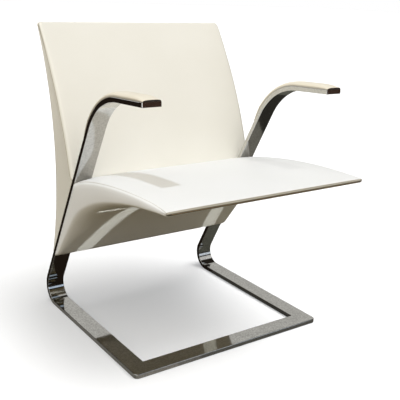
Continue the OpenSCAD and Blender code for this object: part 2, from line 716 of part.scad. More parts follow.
module back_foam() {
    w = back_half_w - leather_t;
    half = [back_half_w - back_edge_r, face_shares[0] * w, face_shares[1] * w];
    cols = concat(half, [0], reversed(-half));
    function crown_at(v, x) = abs(x) < half[0] ? back_crown_at(v, x) : 0;
    color(foam) sheet(
        [for (v = board_stations) [for (x = cols) at_x(x,
            from_front(v, leather_t + soft_gap / 2 - crown_at(v, x)))]],
        [for (v = board_stations) [for (x = cols) at_x(x,
            from_front(v, front_board_in(v) - soft_gap / 2))]]);
}
rear_cols = [1, 0.5, 0, -0.5, -1];
module back_rear_leather() {
    w = back_half_w - leather_t - soft_gap;
    function across(p) = [for (t = rear_cols) at_x(-t * w, p)];
    // The first row turns under the lower tip, up to the bars
    color(back_hide) sheet(
        concat([across(back_front(0))], [for (v = back_stations) across(from_rear(v, 0))]),
        concat([across(back_front(0) + up_dir * leather_t)],
            [across(from_rear(0, leather_t) + up_dir * leather_t)],
            [for (v = back_stations) if (v > 0) across(from_rear(v, leather_t))]));
}
side_shares = [1, 0.5, 0];
module back_side_leather() {
    side_list = back_stations;
    function start(v) = v < nose_share ? 0 : seam_at(v) + soft_gap;
    function side_in(v, t) = min(back_draw, draw_share * back_depth(v)) * sin(180 * t);
    function side_point(v, t, x) = at_x(x, from_front(v, mix(start(v), back_depth(v), t)));
    sheet([for (v = side_list) [for (t = side_shares)
            side_point(v, t, back_half_w - side_in(v, t))]],
        [for (v = side_list) [for (t = side_shares)
            side_point(v, t, back_half_w - leather_t - side_in(v, t))]]);
}
module back_side_leather_left() {
    color(back_hide) back_side_leather();
}
module back_side_leather_right() {
    color(back_hide) mirror([1, 0, 0]) back_side_leather();
}
module back_top_leather() {
    color(back_hide) side_plate(-back_half_w, 2 * back_half_w)
        polygon([back_top_front + [leather_t, 0], back_top_rear - [leather_t, 0],
            back_top_rear + [-leather_t, leather_t], back_top_front + [leather_t, leather_t]]);
}

// Arm pads follow the bar's outer face from the upright to the arm's end
pad_half = bar_w / 2 - pad_side_gap;
pad_low_at = upright_h(bar_t, pad_low_h);
bend_turn = 90 - arm_rise - upright_lean;
bend_steps = 12;
// Each station is a place on the bar's outer face, the way out of it and
// the share of the pad's full thickness there
end_shares = [[0, 0.4], [2, 0.6], [8, 0.85], [16, 1]];
pad_stations = concat(
    [for (e = end_shares) [on_upright(bar_t, pad_low_at + e[0] * leather_t), rear_dir, e[1]]],
    [for (k = [0 : bend_steps]) let (a = upright_lean + bend_turn * k / bend_steps,
        out = [cos(a), sin(a)]) [arm_bend + out * arm_out_r, out, 1]],
    [for (e = reversed(end_shares)) [arm_bend + arm_top_dir * arm_out_r
        + arm_dir * (arm_len - e[0] * leather_t), arm_top_dir, e[1]]]);
dome_power = 3;
dome_steps = 8;
function dome_point(w, h, a) = let (c = cos(a), s = sin(a))
    [w * sign(c) * pow(abs(c), 2 / dome_power), h * pow(abs(s), 2 / dome_power)];
function pad_row(st, d, low) = let (w = pad_half - d, h = pad_t * st[2] - d)
    [for (k = [0 : dome_steps]) let (q = dome_point(w, h, 180 * k / dome_steps))
        at_x(bar_mid_x + q[0], st[0] + st[1] * max(low, q[1]))];
module arm_pad_leather() {
    sheet([for (st = pad_stations) reversed(pad_row(st, 0, soft_gap))],
        [for (st = pad_stations) reversed(pad_row(st, leather_t, soft_gap))]);
}
module arm_pad_leather_left() {
    color(back_hide) arm_pad_leather();
}
module arm_pad_leather_right() {
    color(back_hide) mirror([1, 0, 0]) arm_pad_leather();
}
foam_low = pad_plate_t + 2 * soft_gap;
module arm_pad_foam() {
    inner = [for (i = [1 : len(pad_stations) - 2]) pad_stations[i]];
    function foam_ring(st) = let (d = leather_t + soft_gap, w = pad_half - d - 2 * soft_gap,
            h = pad_t * st[2] - d)
        concat([for (k = [0 : dome_steps]) let (q = dome_point(w, h, 180 * k / dome_steps))
            at_x(bar_mid_x + q[0], st[0] + st[1] * max(foam_low, q[1]))]);
    loft([for (st = inner) foam_ring(st)]);
}
module arm_pad_foam_left() {
    color(foam) arm_pad_foam();
}
module arm_pad_foam_right() {
    color(foam) mirror([1, 0, 0]) arm_pad_foam();
}
plate_half = pad_half - leather_t - 2 * soft_gap;
plate_end = 2 * leather_t;
module arm_pad_plate() {
    straight = upright_len - pad_low_at - plate_end;
    difference() {
        side_plate(bar_mid_x - plate_half, 2 * plate_half) {
            translate(rear_bend) rotate(upright_lean)
                translate([rear_bend_r + bar_t, upright_len - straight])
                    square([pad_plate_t, straight + bend_lap]);
            bend_band(arm_bend, arm_out_r, arm_out_r + pad_plate_t, upright_lean, 90 - arm_rise);
            translate(arm_bend) rotate(90 - arm_rise) translate([arm_out_r, -bend_lap])
                square([pad_plate_t, arm_len - plate_end + bend_lap]);
        }
        pad_screw_places() cylinder(r = pad_screw_r, h = bar_t + pad_plate_t + overrun);
    }
}
module arm_pad_plate_left() {
    color(zinc) arm_pad_plate();
}
module arm_pad_plate_right() {
    color(zinc) mirror([1, 0, 0]) arm_pad_plate();
}
module arm_pad_screws() {
    color(zinc) mirrored_pair() pad_screw_places() {
        cylinder(r1 = pad_head_r, r2 = pad_screw_r, h = pad_head_r - pad_screw_r);
        cylinder(r = pad_screw_r - thread_gap / 2, h = bar_t + pad_plate_t);
    }
}

// Bolts between the bodies and the uprights
module seat_bolts() {
    color(zinc) on_uprights(-bolted_board_t - washer_t - head_h, seat_bolt_at) difference() {
        union() {
            cylinder(r = head_r, h = head_h);
            cylinder(r = bolt_r - thread_gap / 2, h = head_h + washer_t + bolted_board_t + bolt_in_bar);
        }
        translate([0, 0, -overrun]) cylinder(r = socket_r, h = socket_deep + overrun);
    }
}
module seat_washers() {
    color(zinc) on_uprights(-bolted_board_t - washer_t, seat_bolt_at) difference() {
        cylinder(r = washer_r, h = washer_t);
        translate([0, 0, -overrun]) cylinder(r = bolt_r + thread_gap, h = washer_t + 2 * overrun);
    }
}
module back_bolts() {
    color(zinc) on_uprights(0, back_bolt_at) difference() {
        union() {
            cylinder(r1 = head_r, r2 = bolt_r, h = sink_deep);
            cylinder(r = bolt_r - thread_gap / 2, h = bar_t + insert_len - 2 * face_gap);
        }
        translate([0, 0, -overrun]) cylinder(r = socket_r, h = socket_deep + overrun);
    }
}
module back_inserts() {
    color("goldenrod") on_uprights(bar_t + face_gap / 3, back_bolt_at) difference() {
        cylinder(r = insert_r, h = insert_len - face_gap / 2);
        translate([0, 0, -overrun]) cylinder(r = bolt_r, h = insert_len + 2 * overrun);
    }
}

side_bar_right();
side_bar_left();
front_crossbar();
floor_glides();
seat_rear_board();
seat_deck();
seat_belly_board();
seat_rib_right();
seat_rib_middle();
seat_rib_left();
seat_top_foam();
seat_side_foam_right();
seat_side_foam_left();
seat_top_leather();
seat_under_leather();
seat_front_band();
joining_board();
back_base_board();
back_front_board();
back_rear_board();
back_ribs();
back_foam();
back_front_leather();
back_rear_leather();
back_side_leather_right();
back_side_leather_left();
back_top_leather();
arm_pad_plate_right();
arm_pad_plate_left();
arm_pad_foam_right();
arm_pad_foam_left();
arm_pad_leather_right();
arm_pad_leather_left();
arm_pad_screws();
seat_bolts();
seat_washers();
back_bolts();
back_inserts();
joining_screws();
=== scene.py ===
"""Looks of the cantilever lounge chair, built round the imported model.

Everything is in metres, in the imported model's own frame: X across the chair,
the sitter faces -Y, Z up from the floor. Side outlines are (y, z) pairs.
"""

import logging
import math
from dataclasses import dataclass
from enum import Enum
from typing import Callable, Iterable, Optional, Sequence, TypeVar, Union

import bpy
from mathutils import Matrix, Vector, noise


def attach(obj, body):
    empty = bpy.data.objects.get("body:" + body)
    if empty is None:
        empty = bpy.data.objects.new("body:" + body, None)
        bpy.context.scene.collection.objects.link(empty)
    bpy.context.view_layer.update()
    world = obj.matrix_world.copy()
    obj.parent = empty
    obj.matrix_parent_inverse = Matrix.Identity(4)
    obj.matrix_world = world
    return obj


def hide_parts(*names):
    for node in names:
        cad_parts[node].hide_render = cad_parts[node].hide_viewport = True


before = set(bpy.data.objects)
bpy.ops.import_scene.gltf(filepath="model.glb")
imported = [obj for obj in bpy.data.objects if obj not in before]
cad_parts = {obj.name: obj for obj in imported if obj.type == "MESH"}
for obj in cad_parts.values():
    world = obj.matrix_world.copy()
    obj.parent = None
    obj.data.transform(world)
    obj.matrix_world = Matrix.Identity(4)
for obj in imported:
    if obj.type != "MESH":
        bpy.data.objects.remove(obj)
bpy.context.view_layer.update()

LOG = logging.getLogger("lounge_chair")
BODY = "root"
Row = list[Optional[Vector]]
Corner = tuple[float, float]
# Gives the painted shade of a grid piece's points by row and column, from 0 to 1.
ShadeMap = Callable[[int, int], float]
Place = TypeVar("Place", float, Vector)
Object = bpy.types.Object
Socket = bpy.types.NodeSocket
Sockets = bpy.types.bpy_prop_collection
Value = Union[float, Sequence[float], Socket]


class Side(Enum):
    """The sitter's sides, by the sign of x."""

    RIGHT = -1
    LEFT = 1

    @property
    def word(self) -> str:
        """Returns the side's word in the names of pieces."""
        return self.name.lower()


def mix(a: Place, b: Place, t: float) -> Place:
    """Returns the value or point at share t of the way from a to b."""
    return a + (b - a) * t


def ramp(low: float, high: float, value: float) -> float:
    """Returns 0 below low and 1 above high, with a smooth climb between."""
    t = min(1.0, max(0.0, (value - low) / (high - low)))
    return t * t * (3 - 2 * t)


def turn2(degrees: float) -> Vector:
    """Returns the (y, z) direction at an angle from +y towards +z."""
    return Vector((math.cos(math.radians(degrees)), math.sin(math.radians(degrees))))


def inner(steps: int) -> list[float]:
    """Returns the even shares of a length between its ends."""
    return [k / steps for k in range(1, steps)]


def turns(first: float, last: float, steps: int) -> list[Vector]:
    """Returns the (y, z) directions round a bend, from one angle to another."""
    return [turn2(mix(first, last, k / steps)) for k in range(steps + 1)]


def rounding(half: float, across: float, high: float, steps: int) -> list[Corner]:
    """Returns the (x, height) points round a side's corner, down to the face below.

    Args:
        half: x of the side.
        across: the corner's size along x.
        high: its size along the height.
        steps: how many steps it takes.

    Returns:
        The points, from the side to the face.
    """
    return [(half - across * (1 - turn[0]), high * (1 - turn[1])) for turn in turns(0, 90, steps)]


def bezier(a: Vector, d: Vector, pulls: Sequence[Corner], t: float) -> Vector:
    """Returns the point at t of a cubic curve from a to d, with an (angle, length) pull at each.

    Args:
        a: where it starts.
        d: where it ends.
        pulls: the angle and length of the pull at each end.
        t: the share of the way.

    Returns:
        The (y, z) point.
    """
    b, c = (end + turn2(angle) * length for end, (angle, length) in zip((a, d), pulls))
    u = 1 - t
    return a * u**3 + b * (3 * t * u * u) + c * (3 * t * t * u) + d * t**3


def at_x(x: float, side: Vector) -> Vector:
    """Returns the 3-D point of a side outline's (y, z) point at x."""
    return Vector((x, side[0], side[1]))


@dataclass
class ChairSizes:
    """Sizes that several pieces share, as in the part's source; directions are (y, z)."""

    half_w: float = 0.300
    body_half_w: float = 0.2985
    bar_w: float = 0.050
    bar_t: float = 0.012
    glide_h: float = 0.001
    base_front_y: float = -0.2205
    base_corner_r: float = 0.012
    rear_bend: tuple[float, float] = (0.2655, 0.053)
    rear_bend_r: float = 0.040
    upright_lean: float = 28.75
    arm_bend_r: float = 0.170
    arm_rise: float = 3.0
    arm_h: float = 0.679
    arm_end_y: float = -0.2325

    def __post_init__(self) -> None:
        """Works out the directions and the straight lengths that close the bars' outline."""
        lean, rise = math.radians(self.upright_lean), math.radians(self.arm_rise)
        self.bar_in_x = self.half_w - self.bar_w
        self.bar_mid_x = self.half_w - self.bar_w / 2
        self.up_dir = turn2(90 + self.upright_lean)
        self.rear_dir = turn2(self.upright_lean)
        self.arm_dir = turn2(180 - self.arm_rise)
        self.arm_top_dir = turn2(90 - self.arm_rise)
        shift = Vector(self.rear_bend) + self.rear_dir * (self.rear_bend_r - self.arm_bend_r)
        out_r = self.arm_bend_r + self.bar_t
        reach = shift[0] + math.sin(rise) * out_r - self.arm_end_y
        gap = self.arm_h - shift[1] - math.cos(rise) * out_r - math.tan(rise) * reach
        self.upright_len = gap / (math.cos(lean) - math.tan(rise) * math.sin(lean))
        self.arm_bend = shift + self.up_dir * self.upright_len
        self.arm_len = (self.arm_bend[0] + math.sin(rise) * out_r - self.arm_end_y) / math.cos(rise)

    def arm_turns(self, steps: int) -> list[Vector]:
        """Returns the directions out of the bar round an arm's bend."""
        return turns(self.upright_lean, 90 - self.arm_rise, steps)

    def on_arm(self, out: float, along: float) -> Vector:
        """Returns the (y, z) point at a distance out of the arm's lower face."""
        return self.arm_bend + self.arm_top_dir * (self.arm_bend_r + out) + self.arm_dir * along

    def on_upright(self, out: float, along: float) -> Vector:
        """Returns the (y, z) point at a distance out of the upright's front face."""
        foot = Vector(self.rear_bend) + self.rear_dir * (self.rear_bend_r + out)
        return foot + self.up_dir * along

    def upright_at(self, out: float, z: float) -> Vector:
        """Returns the (y, z) point of the upright at a height above the floor."""
        foot = self.rear_bend[1] + self.rear_dir[1] * (self.rear_bend_r + out)
        return self.on_upright(out, (z - foot) / self.up_dir[1])


SIZES = ChairSizes()


# Meshes


def mesh_object(name: str, points: Sequence[Sequence[float]],
                faces: Sequence[Sequence[int]]) -> Object:
    """Makes an object from points and faces.

    Args:
        name: the piece's name.
        points: its vertices, in the chair's frame.
        faces: vertex indices of each face.

    Returns:
        The new object, linked to the scene, with smooth faces.
    """
    mesh = bpy.data.meshes.new(name)
    mesh.from_pydata([tuple(p) for p in points], [], [tuple(f) for f in faces])
    mesh.validate()
    mesh.shade_smooth()
    piece = bpy.data.objects.new(name, mesh)
    bpy.context.scene.collection.objects.link(piece)
    return piece


def grid_piece(name: str, rows: Sequence[Row], closed: bool = False,
               tired: Optional[ShadeMap] = None) -> Object:
    """Makes a piece from rows of points, skipping cells with a missing point.

    Args:
        name: the piece's name.
        rows: rows of points of equal length, None where there is no point.
        closed: joins the last column to the first and closes both ends with a face.
        darkening: gives the painted shade at a row and a column, from 0 to 1.

    Returns:
        The new object, with UVs in metres along and across the rows.
    """
    index: dict[tuple[int, int], int] = {}
    points: list[Vector] = []
    cols = len(rows[0])
    for i, row in enumerate(rows):
        for j, point in enumerate(row):
            if point is not None:
                index[i, j] = len(points)
                points.append(point)
    faces = []
    steps = cols if closed else cols - 1
    for i in range(len(rows) - 1):
        for j in range(steps):
            k = (j + 1) % cols
            cell = [(i, j), (i, k), (i + 1, k), (i + 1, j)]
            if all(c in index for c in cell):
                faces.append([index[c] for c in cell])
    if closed:
        faces.append([index[0, j] for j in reversed(range(cols))])
        faces.append([index[len(rows) - 1, j] for j in range(cols)])
    piece = mesh_object(name, points, faces)
    add_lengths(piece, rows, index)
    # The darkening layer holds painted shade: seam grooves, rolled edges, the band's lower half,
    # the pads' ends and rims.
    if tired is not None:
        darkened = piece.data.attributes.new("tired", "FLOAT", "POINT")
        for (i, j), spot in index.items():
            darkened.data[spot].value = tired(i, j)
    return piece


def mirrored(row: Iterable[Vector]) -> Row:
    """Returns a row's points on the chair's other side."""
    return [Vector((-p[0], p[1], p[2])) for p in row]


def both_sides(half: Sequence[Corner], middle: float) -> list[Corner]:
    """Returns a whole section's (x, value) pairs from one side's and the middle's value."""
    return [*half, (0.0, middle), *((-x, value) for x, value in reversed(half))]


def side_painted_shade(seam: Sequence[float], count: int) -> ShadeMap:
    """Returns the painted shade of a panel by row and column.

    Args:
        seam: the painted shade of the columns from a side seam inwards.
        count: how many columns there are.

    Returns:
        The function for grid_piece, the same for both sides.
    """
    steps = {j: painted_shade for k, painted_shade in enumerate(seam) for j in (k, count - 1 - k)}
    return lambda i, j: steps.get(j, 0.0)


def add_lengths(piece: Object, rows: Sequence[Row], index: dict[tuple[int, int], int]) -> None:
    """Writes the UV map of a grid piece: metres along the rows and across them.

    Args:
        piece: the piece.
        rows: its rows of points.
        index: the point of each row and column.
    """
    along = [0.0]
    middle = len(rows[0]) // 2
    for i in range(1, len(rows)):
        a, b = rows[i - 1][middle], rows[i][middle]
        along.append(along[-1] + ((b - a).length if a is not None and b is not None else 0.0))
    spot: dict[int, tuple[float, float]] = {}
    for i, row in enumerate(rows):
        across = 0.0
        last = None
        for j, point in enumerate(row):
            if point is None:
                continue
            across += (point - last).length if last is not None else 0.0
            last = point
            spot[index[i, j]] = (along[i], across)
    layer = piece.data.uv_layers.new(name="lengths")
    for loop in piece.data.loops:
        layer.data[loop.index].uv = spot[loop.vertex_index]


@dataclass(frozen=True)
class Waves:
    """The slow waves of a hide that is stretched over boards and foam."""

    height: float
    per_metre: float
    seed: float

    def at(self, point: Vector) -> float:
        """Returns the waves' height at a point, the same every run."""
        shift = Vector((self.seed, self.seed * 1.7, -self.seed))
        return self.height * noise.noise(point * self.per_metre + shift)


def placed(piece: Object, material: bpy.types.Material, slot: str, *nodes: str,
           fill: Optional[float] = None) -> Object:
    """Dresses a piece, makes it ride and stand for its CAD nodes, and reports it.

    Args:
        piece: the piece.
        material: its finish.
        slot: the finish's slot in the part; not used.
        nodes: the CAD nodes that it stands for.
        fill: how full it is, if it is padded; not used.

    Returns:
        The piece.
    """
    piece.data.materials.clear()
    piece.data.materials.append(material)
    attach(piece, BODY)
    if nodes:
        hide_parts(*nodes)
    LOG.info("%s: %d points, stands for %s", piece.name, len(piece.data.vertices), nodes or "none")
    return piece


# Shader groups


class Shader:
    """A node tree with short ways to add and join nodes."""

    def __init__(self, tree: bpy.types.NodeTree) -> None:
        """Wraps a material's, a world's or a group's node tree."""
        self.nodes = tree.nodes
        self.links = tree.links

    @classmethod
    def emptied(cls, owner: bpy.types.ID) -> "Shader":
        """Returns the shader of a new material or world, with no nodes in it.

        Args:
            owner: a new material or world.

        Returns:
            The shader.
        """
        owner.use_nodes = True
        owner.node_tree.nodes.clear()
        return cls(owner.node_tree)

    def add(self, kind: str, **values: object) -> bpy.types.Node:
        """Adds a shader node, with attributes by name and inputs by i_NAME or i_INDEX.

        Args:
            kind: the node's type, without its ShaderNode.
            values: what its attributes and inputs get.

        Returns:
            The node.
        """
        node = self.nodes.new("ShaderNode" + kind)
        for key, value in values.items():
            if key.startswith("i_"):
                name = key[2:]
                self.put(value, node.inputs[int(name) if name.isdigit() else name])
            else:
                setattr(node, key, value)
        return node

    def out(self, kind: str, **values: object) -> Socket:
        """Adds a shader node and returns its first output."""
        return self.add(kind, **values).outputs[0]

    def put(self, value: Value, socket: Socket) -> None:
        """Joins an output socket to an input, or sets the input's value.

        Args:
            value: a number, a colour, a vector or an output socket.
            socket: the input.
        """
        if isinstance(value, bpy.types.NodeSocket):
            self.links.new(value, socket)
        else:
            socket.default_value = value

    def fill(self, node: bpy.types.Node, values: dict[str, Value]) -> None:
        """Sets or joins inputs of a node by their labels."""
        for label, value in values.items():
            self.put(value, node.inputs[label])

    def math(self, kind: str, a: Value, b: Value = 0.0, c: Value = 0.0) -> Socket:
        """Returns the output of a maths node."""
        return self.out("Math", operation=kind, i_0=a, i_1=b, i_2=c)

    def blend(self, share: Value, a: Value, b: Value, kind: str = "MIX") -> Socket:
        """Returns the mix of two colours."""
        node = self.add("Mix", data_type="RGBA", blend_type=kind, i_0=share, i_6=a, i_7=b)
        return node.outputs[2]

    def scaled(self, value: Socket, low: float, high: float, to_low: float,
               to_high: float) -> Socket:
        """Returns a value moved from one range to another, kept inside it."""
        return self.out("MapRange", i_0=value, i_1=low, i_2=high, i_3=to_low, i_4=to_high)

    def noise(self, place: Socket, scale: Value, detail: float, roughness: float) -> Socket:
        """Returns the value of a noise texture."""
        return self.add("TexNoise", i_Vector=place, i_Scale=scale, i_Detail=detail,
                        i_Roughness=roughness).outputs["Fac"]

    def bump(self, height: Socket, strength: float, depth: float,
             under: Optional[Socket] = None) -> Socket:
        """Returns the normal of a relief, laid over another relief's normal if there is one.

        Args:
            height: the relief's height.
            strength: how strongly it shows.
            depth: its full height in metres.
            under: the normal below it.

        Returns:
            The normal.
        """
        node = self.add("Bump", i_Height=height, i_Strength=strength, i_Distance=depth)
        if under is not None:
            self.put(under, node.inputs["Normal"])
        return node.outputs[0]

    def object_place(self) -> Socket:
        """Returns the place in the chair's frame."""
        return self.add("TexCoord").outputs["Object"]


class Kind(Enum):
    """Kinds of a shader group's sockets."""

    FLOAT = "NodeSocketFloat"
    COLOUR = "NodeSocketColor"
    VECTOR = "NodeSocketVector"


class Effect:
    """A shared shader group, built once and placed with its own values."""

    name = ""
    inputs: tuple[tuple[str, Kind, object], ...] = ()
    outputs: tuple[str, ...] = ()

    def __init__(self) -> None:
        """Builds the group's sockets and nodes."""
        self.group = bpy.data.node_groups.new(self.name, "ShaderNodeTree")
        for label, kind, value in self.inputs:
            socket = self.group.interface.new_socket(label, in_out="INPUT", socket_type=kind.value)
            socket.default_value = value
        for label in self.outputs:
            kind = Kind.COLOUR if label == "colour" else Kind.FLOAT
            self.group.interface.new_socket(label, in_out="OUTPUT", socket_type=kind.value)
        shader = Shader(self.group)
        given = shader.nodes.new("NodeGroupInput").outputs
        shader.fill(shader.nodes.new("NodeGroupOutput"), self.build(shader, given))

    def build(self, shader: Shader, given: Sockets) -> dict[str, Value]:
        """Adds the group's own nodes and returns what each output gets."""
        raise NotImplementedError

    def place(self, shader: Shader, **values: Value) -> Sockets:
        """Puts the group in a material and returns its outputs.

        Args:
            shader: the material's node tree.
            values: what the group's inputs get, with _ for spaces.

        Returns:
            The group's outputs.
        """
        node = shader.add("Group", node_tree=self.group)
        shader.fill(node, {key.replace("_", " "): value for key, value in values.items()})
        return node.outputs


class HideGrain(Effect):
    """Fine pores and pebbles of finished hide, as a height."""

    name = "hide_grain"
    inputs = (("place", Kind.VECTOR, (0, 0, 0)), ("cells per metre", Kind.FLOAT, 900.0))
    outputs = ("height",)

    def build(self, shader: Shader, given: Sockets) -> dict[str, Value]:
        """Adds pebbles from cell distances and finer pores from noise.

        Args:
            shader: the node tree to build in.
            given: the group's inputs.

        Returns:
            What each output gets, by label.
        """
        cells = shader.add("TexVoronoi", feature="SMOOTH_F1", i_Smoothness=0.6,
                           i_Vector=given["place"], i_Scale=given["cells per metre"])
        fine_scale = shader.math("MULTIPLY", given["cells per metre"], 0.45)
        fine = shader.noise(given["place"], fine_scale, 4.0, 0.6)
        pebble = shader.scaled(cells.outputs["Distance"], 0.0, 0.7, 1.0, 0.0)
        return {"height": shader.math("MULTIPLY_ADD", fine, 0.5, pebble)}


class ToneDrift(Effect):
    """Slow colour change over a surface, with a darker colour mixed in by a mask."""

    name = "tone_drift"
    inputs = (
        ("place", Kind.VECTOR, (0, 0, 0)),
        ("colour", Kind.COLOUR, (1, 1, 1, 1)),
        ("second colour", Kind.COLOUR, (1, 1, 1, 1)),
        ("tired colour", Kind.COLOUR, (1, 1, 1, 1)),
        ("tired", Kind.FLOAT, 0.0),
        ("patches per metre", Kind.FLOAT, 4.0),
    )
    outputs = ("colour", "patches")

    def build(self, shader: Shader, given: Sockets) -> dict[str, Value]:
        """Mixes two colours by slow noise, then the darkening colour by its mask.

        Args:
            shader: the node tree to build in.
            given: the group's inputs.

        Returns:
            What each output gets, by label.
        """
        slow = shader.noise(given["place"], given["patches per metre"], 3.0, 0.55)
        share = shader.scaled(slow, 0.35, 0.65, 0.0, 1.0)
        base = shader.blend(share, given["colour"], given["second colour"])
        colour = shader.blend(given["tired"], base, given["tired colour"])
        return {"colour": colour, "patches": share}


class BrushedLines(Effect):
    """Long fine polishing lines and dull smears."""

    name = "brushed_lines"
    inputs = (
        ("lengths", Kind.VECTOR, (0, 0, 0)),
        ("lines per metre", Kind.FLOAT, 2500.0),
        ("stretch", Kind.FLOAT, 0.02),
    )
    outputs = ("lines", "smears")

    def build(self, shader: Shader, given: Sockets) -> dict[str, Value]:
        """Stretches noise along the bar for lines, and slow noise for smears.

        Args:
            shader: the node tree to build in.
            given: the group's inputs.

        Returns:
            What each output gets, by label.
        """
        flat = shader.out("CombineXYZ", i_X=given["stretch"], i_Y=1.0, i_Z=1.0)
        squeezed = shader.out("VectorMath", operation="MULTIPLY", i_0=given["lengths"], i_1=flat)
        smears = shader.noise(given["lengths"], 22.0, 5.0, 0.65)
        return {"lines": shader.noise(squeezed, given["lines per metre"], 3.0, 0.7),
                "smears": shader.scaled(smears, 0.4, 0.7, 0.0, 1.0)}


class PlyLayers(Effect):
    """Growth lines of a veneer, drawn out along the board."""

    name = "ply_layers"
    inputs = (("place", Kind.VECTOR, (0, 0, 0)), ("rings per metre", Kind.FLOAT, 60.0))
    outputs = ("rings",)

    def build(self, shader: Shader, given: Sockets) -> dict[str, Value]:
        """Warps bands with noise so that they run like sawn grain.

        Args:
            shader: the node tree to build in.
            given: the group's inputs.

        Returns:
            What each output gets, by label.
        """
        bands = shader.add("TexWave", i_Distortion=6.0, i_Detail=3.0,
                           i_Vector=given["place"], i_Scale=given["rings per metre"])
        return {"rings": bands.outputs["Fac"]}


class Effects:
    """The shared shader groups."""

    def __init__(self) -> None:
        """Builds each group once."""
        self.grain = HideGrain()
        self.tone = ToneDrift()
        self.brushed = BrushedLines()
        self.ply = PlyLayers()


Colour = tuple[float, float, float, float]


@dataclass(frozen=True)
class Finish:
    """A material to be made."""

    name: str

    def make(self, effects: Effects) -> bpy.types.Material:
        """Returns the material.

        Args:
            effects: the shared shader groups.

        Returns:
            The new material.
        """
        material = bpy.data.materials.new(self.name)
        shader = Shader.emptied(material)
        body = shader.add("BsdfPrincipled")
        shader.add("OutputMaterial", i_Surface=body.outputs[0])
        shader.fill(body, self.surface(shader, effects))
        return material

    def surface(self, shader: Shader, effects: Effects) -> dict[str, Value]:
        """Adds the finish's own nodes and returns what the surface's inputs get."""
        raise NotImplementedError


@dataclass(frozen=True)
class HideFinish(Finish):
    """A finished hide: its colours, the colour of its painted shade, and how matt it is."""

    colour: Colour
    second: Colour
    tired: Colour
    roughness: float = 0.46
    cells: float = 850.0

    def surface(self, shader: Shader, effects: Effects) -> dict[str, Value]:
        """Gives grain, slow tone, and painted shade at seams, rolled edges and ends.

        Args:
            shader: the node tree to build in.
            effects: the shared shader groups.

        Returns:
            What the surface's inputs get, by label.
        """
        place = shader.object_place()
        # Painted shade: the darkening layer darkens the hide along seam grooves and under rolled
        # edges.
        tired = shader.add("Attribute", attribute_name="tired").outputs["Fac"]
        tone = effects.tone.place(
            shader, place=place, colour=self.colour, second_colour=self.second,
            tired_colour=self.tired, tired=tired, patches_per_metre=5.0)
        grain = effects.grain.place(shader, place=place, cells_per_metre=self.cells)
        rough = shader.scaled(tone["patches"], 0, 1, self.roughness - 0.04, self.roughness + 0.05)
        return {"Base Color": tone["colour"], "Roughness": rough, "Specular IOR Level": 0.4,
                "Normal": shader.bump(grain["height"], 0.22, 0.00025)}


@dataclass(frozen=True)
class SteelFinish(Finish):
    """Polished flat steel with fine lines along the bar and a fine speckle."""

    colour: Colour = (0.66, 0.65, 0.625, 1)
    darkened: Colour = (0.36, 0.355, 0.335, 1)
    roughness: float = 0.035
    line_depth: float = 0.000004
    speckle_depth: float = 0.00001

    def surface(self, shader: Shader, effects: Effects) -> dict[str, Value]:
        """Gives a mirror-like face, finely speckled, with dull smears; its colour grows darker
        towards the floor.

        Args:
            shader: the node tree to build in.
            effects: the shared shader groups.

        Returns:
            What the surface's inputs get, by label.
        """
        lengths = shader.out("UVMap", uv_map="lengths")
        marks = effects.brushed.place(shader, lengths=lengths)
        place = shader.object_place()
        speckle = shader.noise(place, 260.0, 2.0, 0.6)
        grit = shader.scaled(speckle, 0.4, 0.62, 0.0, 1.0)
        height = shader.add("SeparateXYZ", i_0=place).outputs["Z"]
        # The steel's colour grows darker towards the floor.
        darker_low = shader.scaled(height, 0.02, 0.25, 0.45, 0.0)
        darkened = shader.math("MULTIPLY_ADD", marks["smears"], 0.2, darker_low)
        share = shader.math("MULTIPLY_ADD", grit, 0.45, darkened)
        streaks = shader.scaled(marks["lines"], 0.3, 0.7, self.roughness, self.roughness + 0.03)
        fine = shader.bump(speckle, 0.5, self.speckle_depth)
        return {"Base Color": shader.blend(share, self.colour, self.darkened), "Metallic": 1.0,
                "Roughness": shader.math("MULTIPLY_ADD", marks["smears"], 0.03, streaks),
                "Normal": shader.bump(marks["lines"], 0.5, self.line_depth, fine)}


@dataclass(frozen=True)
class HardwareFinish(Finish):
    """A plain metal or plastic with slow changes of tone."""

    colour: Colour
    second: Colour
    roughness: float
    metallic: float = 0.0

    def surface(self, shader: Shader, effects: Effects) -> dict[str, Value]:
        """Gives the mottling of plated or moulded parts.

        Args:
            shader: the node tree to build in.
            effects: the shared shader groups.

        Returns:
            What the surface's inputs get, by label.
        """
        tone = effects.tone.place(
            shader, place=shader.object_place(), colour=self.colour, second_colour=self.second,
            tired_colour=self.second, patches_per_metre=90.0)
        rough = shader.scaled(tone["patches"], 0, 1, self.roughness, self.roughness + 0.12)
        return {"Base Color": tone["colour"], "Roughness": rough, "Metallic": self.metallic,
                "Normal": shader.bump(tone["patches"], 0.3, 0.00005)}


@dataclass(frozen=True)
class PlyFinish(Finish):
    """Birch plywood with its grain."""

    pale: Colour = (0.62, 0.46, 0.28, 1)
    dark: Colour = (0.48, 0.33, 0.18, 1)

    def surface(self, shader: Shader, effects: Effects) -> dict[str, Value]:
        """Gives the grain in colour, gloss and height.

        Args:
            shader: the node tree to build in.
            effects: the shared shader groups.

        Returns:
            What the surface's inputs get, by label.
        """
        place = shader.object_place()
        rings = effects.ply.place(shader, place=place)["rings"]
        tone = effects.tone.place(
            shader, place=place, colour=self.pale, second_colour=self.dark,
            tired_colour=self.dark, tired=shader.math("MULTIPLY", rings, 0.6))
        return {"Base Color": tone["colour"], "Roughness": shader.scaled(rings, 0, 1, 0.55, 0.7),
                "Normal": shader.bump(rings, 0.3, 0.0002)}


